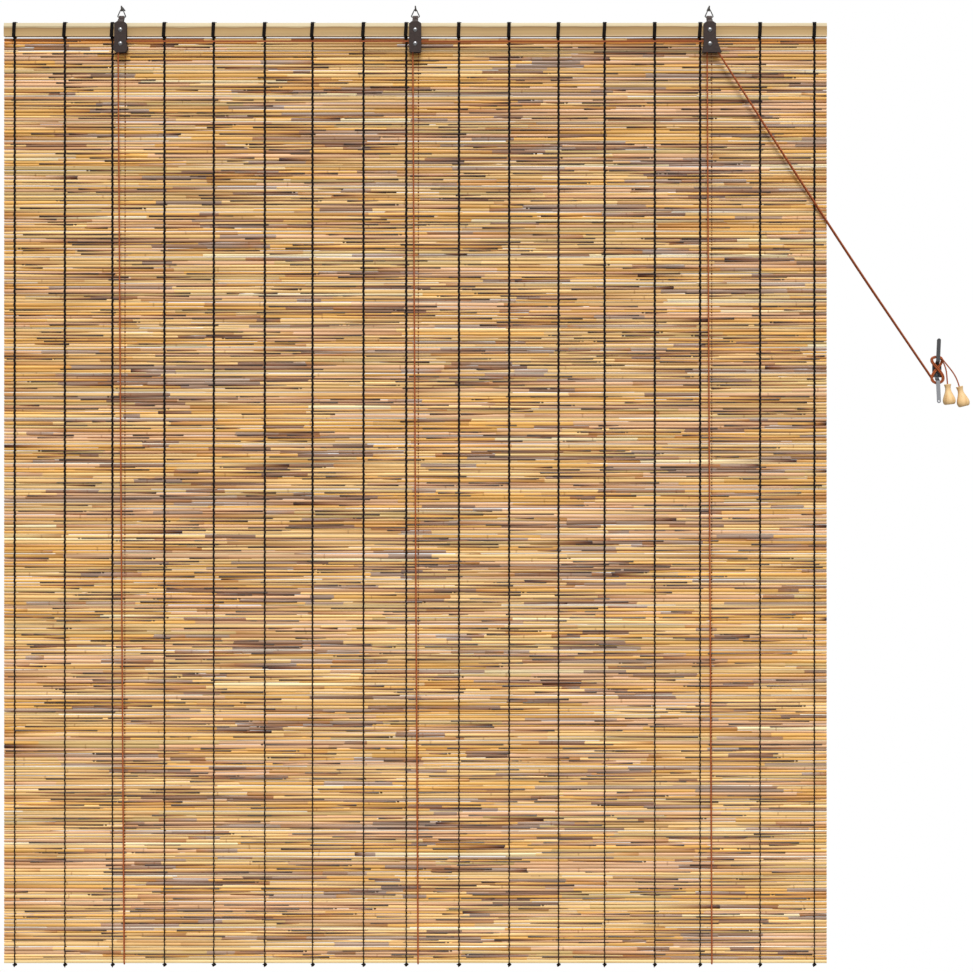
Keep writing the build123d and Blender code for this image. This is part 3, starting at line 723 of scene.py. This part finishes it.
def reed_mat():
    """The mat in bands, from the top down. Beside the open slots, thin near-white rows fill the seam:
    painted light that carries each slot's bright line across the width.
    """
    rng = random.Random(SEED)
    slots = mat_slots()
    rows = reed_rows(rng, slots)
    per_band = math.ceil(len(rows) / MAT_BANDS)
    for band in range(MAT_BANDS):
        build = Build()
        inside = rows[band * per_band:(band + 1) * per_band]
        for i, (middle_z, thickness) in enumerate(inside):
            choices = TOP_ROW_COLOURS if band == 0 and i < TOP_ROWS else REED_COLOURS
            add_row(build, rng, -HALF_WIDTH, HALF_WIDTH, middle_z, thickness, choices)
            seam_z = middle_z - thickness / 2
            if all(abs(seam_z - z) > SLOT_HEIGHT for z, start, end in slots) and i + 1 < len(inside):
                add_seam(build, rng, seam_z)
        # Painted light: near-white rows in the seam on both sides of each slot
        for z, start, end in slots:
            if inside[-1][0] < z < inside[0][0]:
                size = SLOT_HEIGHT * PALE_ROW_SIZE
                for from_x, to_x in ((-HALF_WIDTH, start), (end, HALF_WIDTH)):
                    add_row(build, rng, from_x, to_x, z, size, SLIT_LIGHT_PAINT_COLOURS, PALE_FORWARD)
        build.finish(f"reeds_{band + 1}", "reed", "blind", ["reed_mat"])
    return rows


# Twine down the mat

TWINE_RADIUS = 2.05 * MM
TWINE_SIDES = 6
TWINE_FLAT = 0.55
TWINE_RAIL_GAP = 0.3 * MM
TWINE_START = 2 * MM
TWINE_STEP_IN = 1.5 * MM
TWINE_STEP_DOWN = 0.6 * MM
TWINE_TOP_SIZE = 0.8
TWINE_PROUD = 0.7 * MM
TWINE_SWAY = 0.45 * MM
TWINE_DIP = 0.5 * MM
TWINE_PINCH = 0.72


def warp_twines(rows):
    """Each twine bulges over a reed and, in front, pulls in between two, shifting from side to side."""
    for side, label in ((-1, "front"), (1, "back")):
        build = Build()
        rail_y = MAT_Y + side * (RAIL_HIGH[1] - MAT_Y + TWINE_RAIL_GAP)
        over_y = MAT_Y + side * (REED_DEPTH / 2 + TWINE_PROUD)
        slat_y = MAT_Y + side * (SLAT_HIGH[1] - MAT_Y + TWINE_PROUD)
        for x in TWINE_XS:
            points = [
                (x, rail_y, RAIL_LOW[2] + TWINE_START),
                (x, rail_y - side * TWINE_STEP_IN, RAIL_LOW[2] - TWINE_STEP_DOWN),
            ]
            radii = [TWINE_RADIUS * TWINE_TOP_SIZE] * len(points)
            for i, (z, thickness) in enumerate(rows):
                sway = TWINE_SWAY if i % 2 else -TWINE_SWAY
                points.append((x + sway, over_y, z))
                radii.append(TWINE_RADIUS)
                if label == "front":
                    points.append((x, over_y - side * TWINE_DIP, z - thickness / 2))
                    radii.append(TWINE_RADIUS * TWINE_PINCH)
            points.append((x, slat_y, SLAT_LOW[2]))
            radii.append(TWINE_RADIUS)
            add_tube(build, points, radii, TWINE_SIDES, TWINE_FLAT)
        build.finish(f"warp_twines_{label}", "black_twine", "blind", ["warp_twines"])


# Turns round the headrail and knots under the slat. Places are to the right, to the back and up.

WRAP_TURNS = 3
WRAP_RADIUS = 1.1 * MM
WRAP_BEDDING = 0.9
WRAP_TOP_CORNER = 5.2 * MM
WRAP_LOW_CORNER = 2.4 * MM
WRAP_CORNER_STEPS = 4
WRAP_LEANS = (0.5 * MM, 1.1 * MM)
WRAP_PITCH = 1.75 * WRAP_RADIUS
WRAP_KNOT_PLACE = (-2.2 * MM, -0.4 * MM, -0.6 * MM)
WRAP_KNOT_SIZE = (1.8 * MM, 1.2 * MM, 1.3 * MM)
LUMP_SIDES = 8
LUMP_RINGS = 5
KNOT_PLACE = (0.6 * MM, -0.4 * MM, -2.4 * MM)
KNOT_SIZE = (3.4 * MM, 3.2 * MM, 2.4 * MM)
LOW_KNOT_RIGHT = (-0.8 * MM, 0.4 * MM)
LOW_KNOT_BACK = -1.0 * MM
LOW_KNOT_UP = -3.8 * MM
LOW_KNOT_SIZE = (2.4 * MM, 2.2 * MM, 2.0 * MM)
CUT_END_FROM = (0, -0.4 * MM, -2.8 * MM)
CUT_END_BACK = -0.8 * MM
CUT_END_RADII = (1.3 * MM, 0.8 * MM)
CUT_ENDS = (
    ((3.0 * MM, 4.0 * MM), (1.6 * MM, 3.0 * MM)),
    ((0.4 * MM, 1.6 * MM), (5.8 * MM, 7.4 * MM)),
)
FOOT_UP = 0.5 * MM
FOOT_IN = 1.5 * MM
FOOT_DOWN = 2.2 * MM
FOOT_RADIUS = 1.5 * MM


def rounded_loop(half_depth, half_height, top_corner, low_corner, steps):
    """Points round a rectangle with round corners, in depth and height."""
    points = []
    for quarter, (sy, sz) in enumerate(((-1, 1), (-1, -1), (1, -1), (1, 1))):
        start = math.pi / 2 + quarter * math.pi / 2
        corner = top_corner if sz > 0 else low_corner
        for i in range(steps + 1):
            angle = start + math.pi / 2 * i / steps
            points.append((
                sy * (half_depth - corner) + corner * math.cos(angle),
                sz * (half_height - corner) + corner * math.sin(angle),
            ))
    return points


def add_lump(build, centre, size, sides=LUMP_SIDES, count=LUMP_RINGS):
    """Ellipsoid with its poles on Z."""
    outline = circle(sides)
    rings = []
    for i in range(count):
        angle = math.pi * (i + 0.5) / count - math.pi / 2
        wide = math.cos(angle)
        ring_centre = (centre[0], centre[1], centre[2] + size[2] * math.sin(angle))
        rings.append(build.ring(ring_centre, outline, ((size[0] * wide, 0, 0), (0, size[1] * wide, 0))))
    build.bridge(rings, sides)
    build.cap_ends(rings, sides)


def offset(place, step):
    return tuple(a + b for a, b in zip(place, step))


def headrail_wraps(rng):
    """Turns of twine round the headrail, side by side and a little askew."""
    build = Build()
    middle_y = (RAIL_LOW[1] + RAIL_HIGH[1]) / 2
    middle_z = (RAIL_LOW[2] + RAIL_HIGH[2]) / 2
    half_depth = (RAIL_HIGH[1] - RAIL_LOW[1]) / 2 + WRAP_RADIUS * WRAP_BEDDING
    half_height = (RAIL_HIGH[2] - RAIL_LOW[2]) / 2 + WRAP_RADIUS * WRAP_BEDDING
    loop = rounded_loop(half_depth, half_height, WRAP_TOP_CORNER, WRAP_LOW_CORNER, WRAP_CORNER_STEPS)
    for x in TWINE_XS:
        lean = rng.uniform(*WRAP_LEANS)
        points = []
        for turn in range(WRAP_TURNS):
            for i, (y, z) in enumerate(loop):
                across = (turn + i / len(loop) - WRAP_TURNS / 2) * WRAP_PITCH
                points.append((x + across + lean * z / half_height, middle_y + y, middle_z + z))
        add_tube(build, points, WRAP_RADIUS, TWINE_SIDES)
        add_lump(build, offset((x, RAIL_LOW[1], RAIL_LOW[2]), WRAP_KNOT_PLACE), WRAP_KNOT_SIZE)
    build.finish("headrail_wraps_turns", "black_twine", "blind", ["headrail_wraps"])


def bottom_knots(rng):
    """Knots under the slat, each with two cut ends to the left, and the twine that leads to them."""
    build = Build()
    top = SLAT_LOW[2]
    for x in TWINE_XS:
        add_lump(build, offset((x, MAT_Y, top), KNOT_PLACE), KNOT_SIZE)
        low = (x + rng.uniform(*LOW_KNOT_RIGHT), MAT_Y + LOW_KNOT_BACK, top + LOW_KNOT_UP)
        add_lump(build, low, LOW_KNOT_SIZE)
        for lefts, downs in CUT_ENDS:
            end = (x - rng.uniform(*lefts), MAT_Y + CUT_END_BACK, top - rng.uniform(*downs))
            add_tube(build, [offset((x, MAT_Y, top), CUT_END_FROM), end], CUT_END_RADII, TWINE_SIDES)
        for side in (-1, 1):
            foot_y = MAT_Y + side * (SLAT_HIGH[1] - MAT_Y + TWINE_PROUD)
            lead = [(x, foot_y, top + FOOT_UP), (x, MAT_Y + side * FOOT_IN, top - FOOT_DOWN)]
            add_tube(build, lead, FOOT_RADIUS, TWINE_SIDES)
    build.finish("bottom_knots_tied", "black_twine", "blind", ["bottom_knots"])


# Cords that the blind holds

TIE_START = 3 * MM
TIE_LENGTH = 7 * MM
TIE_TURNS = 3
TIE_STEPS = 14
TIE_FROM = 0.15
TIE_SPAN = 0.7
TIE_HALF_WIDTH = 1.7 * MM
TIE_HALF_DEPTH = 3.0 * MM
TIE_THREAD = 1.05 * MM
TIE_THREAD_SIDES = 7
TIE_CORE = 1.6 * MM


def add_cord(build, points):
    add_tube(build, points, CORD_DIAMETER / 2 + BRAID_PROUD, CORD_SIDES)


def cord_piece(name, points, replaced):
    build = Build()
    add_cord(build, points)
    build.finish(name, "terracotta_cord", "blind", replaced)


def exit_way():
    """Way that the pull cords leave the right wheel."""
    way = Vector((CLEAT_X - BRACKET_X["right"], 0, CLEAT_Z - AXLE_Z))
    return way.normalized()


def exit_point(lane, distance):
    way = exit_way()
    off_wheel = Vector((-way.z, 0, way.x)) * CORD_ON_WHEEL
    return Vector((BRACKET_X["right"], LANE_Y[lane], AXLE_Z)) + off_wheel + way * distance


def over_right_wheel(lane):
    """Route over the right wheel, from the head run to the tie."""
    half_turn = math.atan2(-exit_way().z, exit_way().x) / 2
    top = AXLE_Z + CORD_ON_WHEEL
    x = BRACKET_X["right"]
    corner = Vector((x + CORD_ON_WHEEL * math.tan(half_turn), LANE_Y[lane], top))
    return [corner, exit_point(lane, TIE_START)]


def lift_cord(side, lane):
    """Down the front, under the slat and up the back to its staple. The right one starts at the tie."""
    x = BRACKET_X[side]
    front_y, back_y = MAT_Y - LIFT_TURN, MAT_Y + LIFT_TURN
    low_z = SLAT_LOW[2] - CORD_DIAMETER / 2 - CORD_CLEARANCE
    end_y = RAIL_HIGH[1] + CORD_DIAMETER / 2 + CORD_CLEARANCE
    points = [
        (x - CORD_ON_WHEEL, LANE_Y[lane], AXLE_Z),
        (x - CORD_ON_WHEEL, LANE_Y[lane], AXLE_Z - STRAIGHT_LEAD),
        (x + LIFT_DRIFT, front_y, low_z + STRAIGHT_LEAD),
        (x + LIFT_DRIFT, front_y, low_z),
        (x + LIFT_DRIFT, back_y, low_z),
        (x + LIFT_DRIFT, back_y, low_z + STRAIGHT_LEAD),
        (x + LIFT_BACK_SHIFT, end_y, RAIL_HIGH[2] - LIFT_END_DROP),
    ]
    if side == "right":
        corner = (x - CORD_ON_WHEEL, LANE_Y[lane], AXLE_Z + CORD_ON_WHEEL)
        points = [*reversed(over_right_wheel(lane)), corner, *points[1:]]
    cord_piece(f"lift_cord_{side}_braid", spline_points(points), [f"lift_cord_{side}"])


def head_cord(side, lane):
    """From a wheel along the headrail and over the right wheel to the tie."""
    x = BRACKET_X[side] - CORD_ON_WHEEL
    top = AXLE_Z + CORD_ON_WHEEL
    points = [
        (x, LANE_Y[lane], AXLE_Z),
        (x, LANE_Y[lane], top),
        (x + STRAIGHT_LEAD, LANE_Y[lane], top),
        (BRACKET_X["right"] - STRAIGHT_LEAD, LANE_Y[lane], top),
        *over_right_wheel(lane),
    ]
    cord_piece(f"head_cord_{side}_braid", spline_points(points), [f"head_cord_{side}"])


def cord_tie():
    """Whipping of cord round the three cords inside the right bracket."""
    build = Build()
    way = exit_way()
    across = Vector((-way.z, 0, way.x))
    points = []
    count = TIE_TURNS * TIE_STEPS
    for i in range(count + 1):
        angle = 2 * math.pi * i / TIE_STEPS
        centre = exit_point("middle", TIE_START + TIE_LENGTH * (TIE_FROM + TIE_SPAN * i / count))
        depth = Vector((0, TIE_HALF_DEPTH * math.cos(angle), 0))
        points.append(centre + across * (TIE_HALF_WIDTH * math.sin(angle)) + depth)
    add_tube(build, points, TIE_THREAD, TIE_THREAD_SIDES)
    core = [exit_point("middle", TIE_START), exit_point("middle", TIE_START + TIE_LENGTH)]
    add_tube(build, core, TIE_CORE, CORD_SIDES)
    build.finish("cord_tie_whipping", "terracotta_cord", "blind", ["cord_tie"])


# Pull cords: from the tie over the mat's edge to the cleat, wound in a figure of eight, down to the pulls.
# Places by the cleat are in millimetres: right and up from its middle, and out from the wall.

EDGE_CROSSING_Z = -371 * MM
EDGE_CROSSING_Y = {"front": -27.7 * MM, "rear": -24.9 * MM}
CLEAT_ENTRY = {"front": (-6.2, -15.2, 4.6), "rear": (-7.2, -15.9, 2.4)}
SIDE_BY_SIDE = {"front": 0.6 * MM, "rear": -0.6 * MM}
TAILS = {
    "rear": [
        (6.0, 20.4, 8.4), (10.6, 12.8, 10.0), (12.8, 6.4, 10.8), (14.3, 0.4, 11.4),
        (15.4, -10.6, 12.0), (16.2, -22.5, 12.2),
    ],
    "front": [
        (6.8, 22.0, 10.6), (11.6, 15.2, 12.2), (15.4, 10.4, 12.4), (21.2, 3.4, 12.4),
        (27.4, -5.0, 12.5), (32.6, -15.2, 12.6), (36.4, -26.4, 12.6),
    ],
}
PULLS = {"front": "outer", "rear": "inner"}
PULL_TILTS = {"inner": 6, "outer": 13.7}
PULL_DEPTH = 24 * MM
PULL_KNOT_SIZE = (2.7 * MM, 2.7 * MM, 2.4 * MM)
PULL_KNOT_SIDES = 12
PULL_KNOT_RINGS = 9
EIGHT_HALF_WIDTH = 10.6 * MM
EIGHT_HALF_HEIGHT = 22.6 * MM
EIGHT_PULLED_IN = 0.3
EIGHT_RISE = 2.0 * MM
EIGHT_CROSSING_RISE = 3 * MM
EIGHT_FIRST_DEPTH = 3.2 * MM
EIGHT_LAYER = 2.35 * MM
EIGHT_FROM = 2.95
EIGHT_TO = 4 * math.pi + 0.05
EIGHT_STEP = math.pi / 8
EIGHT_PROBE = 0.01
PAIR_OFFSET = {"front": -1.18 * MM, "rear": 1.18 * MM}


def from_cleat(right, up, out):
    return Vector((CLEAT_X + right * MM, -out * MM, CLEAT_Z + up * MM))


def pull_way(run):
    """Way down along a pull."""
    tilt = math.radians(PULL_TILTS[PULLS[run]])
    return Vector((math.sin(tilt), 0, -math.cos(tilt)))


def eight_place(angle):
    """Place on the figure of eight, to the right and up, narrower where it leaves the upper horn."""
    right = EIGHT_HALF_WIDTH * math.sin(2 * angle)
    right *= 1 - EIGHT_PULLED_IN * max(0, math.cos(angle)) * max(0, math.sin(2 * angle))
    up = EIGHT_RISE + EIGHT_HALF_HEIGHT * math.cos(angle) + EIGHT_CROSSING_RISE * math.sin(angle) ** 2
    return Vector((right, up))


def eight_turns(run):
    """Turns on the cleat, each pass a layer further out, with the two cords side by side."""
    points = []
    angle = EIGHT_FROM
    while angle < EIGHT_TO:
        ahead = eight_place(angle + EIGHT_PROBE) - eight_place(angle - EIGHT_PROBE)
        ahead.normalize()
        place = eight_place(angle) + Vector((-ahead.y, ahead.x)) * PAIR_OFFSET[run]
        out = EIGHT_FIRST_DEPTH + EIGHT_LAYER * (angle - math.pi) / math.pi
        points.append(Vector((CLEAT_X + place.x, -out, CLEAT_Z + place.y)))
        angle += EIGHT_STEP
    return points


def pull_cord(run, lane):
    """One pull cord with its knot and its pull."""
    start = exit_point(lane, TIE_START + TIE_LENGTH)
    aside = SIDE_BY_SIDE[run]
    edge = Vector((HALF_WIDTH + aside, EDGE_CROSSING_Y[run], EDGE_CROSSING_Z + aside))
    entry = from_cleat(*CLEAT_ENTRY[run])
    lead = entry + (edge - entry).normalized() * STRAIGHT_LEAD
    tail = [from_cleat(*point) for point in TAILS[run]]
    inside = tail[-1] + pull_way(run) * PULL_DEPTH
    path = spline_points([start, edge, lead, entry, *eight_turns(run), *tail, inside])
    build = Build()
    add_cord(build, path)
    replaced = [f"pull_cord_{run}", f"pull_tail_{PULLS[run]}", "cleat_wrap"]
    piece = build.finish(f"pull_cord_{run}_braid", "terracotta_cord", None, replaced)
    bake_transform(piece)
    knot = Build()
    add_lump(knot, inside, PULL_KNOT_SIZE, PULL_KNOT_SIDES, PULL_KNOT_RINGS)
    knot_piece = knot.finish(f"pull_knot_{PULLS[run]}", "terracotta_cord", "wall_fittings")
    pull = wood_pull(run)


# Turned pulls, rivet heads and the cleat's screws. The outline is shares of height and of belly.

PULL_OUTLINE = (
    (0, 0.55), (0.04, 0.55), (0.1, 0.49), (0.2, 0.44), (0.32, 0.48), (0.43, 0.60), (0.54, 0.75),
    (0.65, 0.89), (0.74, 0.97), (0.82, 1.0), (0.9, 0.96), (0.95, 0.89), (0.985, 0.79), (1, 0.70),
)
PULL_HEIGHT = 34.7 * MM
PULL_BELLY = 10.9 * MM
PULL_BORE = 1.7 * MM
PULL_RECESS = 4.2 * MM
PULL_RECESS_DEPTH = 12 * MM
PULL_SIDES = 40
OUTLINE_STEPS = 4
HEAD_SIDES = 24
DOME_STEPS = 8
DOME_TIP = 0.05 * MM
RIVET_HEAD = 3.75 * MM
RIVET_RISE = 1.6 * MM
RIVET_SHAFTS = {"bracket_rivets": 2 * MM, "wheel_axles": 1.5 * MM}
CLEAT_SHEET = 1.8 * MM
SCREW_SPACING = 12 * MM
SCREW_SHAFT = 2 * MM
SCREW_HEAD = 3.4 * MM
SCREW_RISE = 1.2 * MM


def catmull_rom(a, b, c, d, t):
    """Value between b and c, at the share t of the way."""
    square = (2 * a - 5 * b + 4 * c - d) * t * t
    cube = (3 * b - a - 3 * c + d) * t ** 3
    return 0.5 * (2 * b + (c - a) * t + square + cube)


def smooth_outline(points):
    """Curve through the outline's points."""
    ends = [points[0], *points, points[-1]]
    found = []
    for four in zip(ends, ends[1:], ends[2:], ends[3:]):
        for i in range(OUTLINE_STEPS):
            found.append(tuple(catmull_rom(*values, i / OUTLINE_STEPS) for values in zip(*four)))
    return found + [points[-1]]


def add_turned(build, top, down, profile, sides):
    """Surface turned about the way down, from (distance down, radius) points."""
    side = down.cross(Vector((0, 1, 0))) if abs(down.y) < NEARLY_ALONG else Vector((1, 0, 0))
    side.normalize()
    other = down.cross(side)
    outline = circle(sides)
    rings = []
    for distance, radius in profile:
        rings.append(build.ring(Vector(top) + down * distance, outline, (side * radius, other * radius)))
    build.bridge(rings, sides)
    return rings


def wood_pull(run):
    """Turned pull with its bore, and the recess that hides the knot."""
    name = PULLS[run]
    top = from_cleat(*TAILS[run][-1])
    outline = [(share * PULL_HEIGHT, radius * PULL_BELLY) for share, radius in smooth_outline(PULL_OUTLINE)]
    shoulder = PULL_HEIGHT - PULL_RECESS_DEPTH
    inside = [(PULL_HEIGHT, PULL_RECESS), (shoulder, PULL_RECESS), (shoulder, PULL_BORE), (0, PULL_BORE)]
    build = Build()
    add_turned(build, top, pull_way(run), outline + inside + outline[:1], PULL_SIDES)
    return build.finish(f"wood_pull_{name}_turned", "turned_wood", "wall_fittings", [f"wood_pull_{name}"])


def dome_profile(radius, rise):
    """Dome from its top down, as (distance down, radius) points."""
    profile = [(0, DOME_TIP)]
    for i in range(DOME_STEPS):
        angle = math.pi / 2 * (i + 1) / DOME_STEPS
        profile.append((rise * (1 - math.cos(angle)), radius * math.sin(angle)))
    return profile


def add_head(build, top, profile):
    """Closed turned head that faces the front."""
    rings = add_turned(build, top, Vector((0, 1, 0)), profile, HEAD_SIDES)
    build.cap_ends(rings, HEAD_SIDES)


def cleat_screws():
    """Heads of the two screws that hold the cleat to the wall, with their shafts in the plate."""
    build = Build()
    profile = dome_profile(SCREW_HEAD, SCREW_RISE)
    profile += [(SCREW_RISE, SCREW_SHAFT), (SCREW_RISE + CLEAT_SHEET, SCREW_SHAFT)]
    for side in (-1, 1):
        top = (CLEAT_X, -CLEAT_SHEET - SCREW_RISE, CLEAT_Z + side * SCREW_SPACING / 2)
        add_head(build, top, profile)
    build.finish("cleat_screw_heads", "cleat_steel", "wall_fittings")


def rivet_heads(node):
    """Domed heads in place of the solids' stepped ones, with the rest of each rivet behind."""
    low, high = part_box(node)
    two_heads = node == "bracket_rivets"
    depth = high[1] - low[1] - (RIVET_RISE if two_heads else 0)
    shaft = RIVET_SHAFTS[node]
    dome = dome_profile(RIVET_HEAD, RIVET_RISE)
    profile = dome + [(RIVET_RISE, shaft), (depth, shaft)]
    if two_heads:
        profile += [(depth, RIVET_HEAD)]
        profile += [(depth + RIVET_RISE - distance, radius) for distance, radius in reversed(dome)]
    build = Build()
    for x in BRACKET_X.values():
        add_head(build, (x, low[1], (low[2] + high[2]) / 2), profile)
    build.finish(f"{node}_domed", "rivet_steel", "blind", [node])


# Studio

SKY_SPAN = (-0.6, 0.6)
SKY_STRENGTH = (0.1, 0.75)
SUN_TOWARDS = (0.05, -0.65, 0.78)
SUN_STRENGTH = 2.95
SUN_SOFTNESS = 24
FLOOR_DROP = 0.11
FLOOR_X = (-2.2, 2.4)
FLOOR_Y = (-2.4, 0.45)


def camera():
    data = bpy.data.cameras.new("camera")
    data.sensor_fit = "HORIZONTAL"
    data.sensor_width = SENSOR_WIDTH
    data.lens = SENSOR_WIDTH * (CAMERA_DISTANCE + MAT_Y) / (PHOTO_WIDTH * METRES_PER_PIXEL)
    holder = bpy.data.objects.new("camera", data)
    holder.location = (CAMERA_X, -CAMERA_DISTANCE, CAMERA_Z)
    holder.rotation_euler = (math.pi / 2, 0, 0)
    bpy.context.scene.collection.objects.link(holder)
    bpy.context.scene.camera = holder


def surroundings():
    """White to the eye, and as light brighter from above than from below."""
    world = bpy.data.worlds.new("white")
    world.use_nodes = True
    nodes, links = world.node_tree.nodes, world.node_tree.links
    background = nodes["Background"]
    background.inputs["Color"].default_value = (1, 1, 1, 1)
    place = nodes.new("ShaderNodeTexCoord")
    axes = nodes.new("ShaderNodeSeparateXYZ")
    links.new(place.outputs["Generated"], axes.inputs["Vector"])
    sky = map_range(world, axes.outputs["Z"], SKY_SPAN, SKY_STRENGTH)
    path = nodes.new("ShaderNodeLightPath")
    strength = nodes.new("ShaderNodeMix")
    links.new(path.outputs["Is Camera Ray"], strength.inputs["Factor"])
    links.new(sky, strength.inputs["A"])
    strength.inputs["B"].default_value = 1.0
    links.new(strength.outputs["Result"], background.inputs["Strength"])
    bpy.context.scene.world = world
    bpy.context.scene.view_settings.view_transform = "Standard"


def sun_light():
    data = bpy.data.lights.new("sun", "SUN")
    data.energy = SUN_STRENGTH
    data.angle = math.radians(SUN_SOFTNESS)
    holder = bpy.data.objects.new("sun", data)
    holder.rotation_euler = Vector(SUN_TOWARDS).to_track_quat("Z", "Y").to_euler()
    bpy.context.scene.collection.objects.link(holder)


def pale_floor():
    low = cad_box[0][2] - FLOOR_DROP
    left, right = FLOOR_X
    near, far = FLOOR_Y
    corners = [(left, near, low), (right, near, low), (right, far, low), (left, far, low)]
    mesh = bpy.data.meshes.new("floor")
    mesh.from_pydata(corners, [], [(0, 1, 2, 3)])
    floor = bpy.data.objects.new("floor", mesh)
    bpy.context.scene.collection.objects.link(floor)
    floor.data.materials.append(new_material("pale_floor", linear(168, 166, 162), 0.8))


def main():
    rng = random.Random(SEED + 1)
    camera()
    pull_cord("front", "front")
    pull_cord("rear", "middle")
    for side, lane in (("left", "front"), ("centre", "middle"), ("right", "rear")):
        lift_cord(side, lane)
    head_cord("left", "front")
    head_cord("centre", "middle")
    cord_tie()
    rows = reed_mat()
    warp_twines(rows)
    headrail_wraps(rng)
    bottom_knots(rng)
    rivet_heads("bracket_rivets")
    rivet_heads("wheel_axles")
    cleat_screws()
    dress_nodes()
    surroundings()
    sun_light()
    pale_floor()


main()
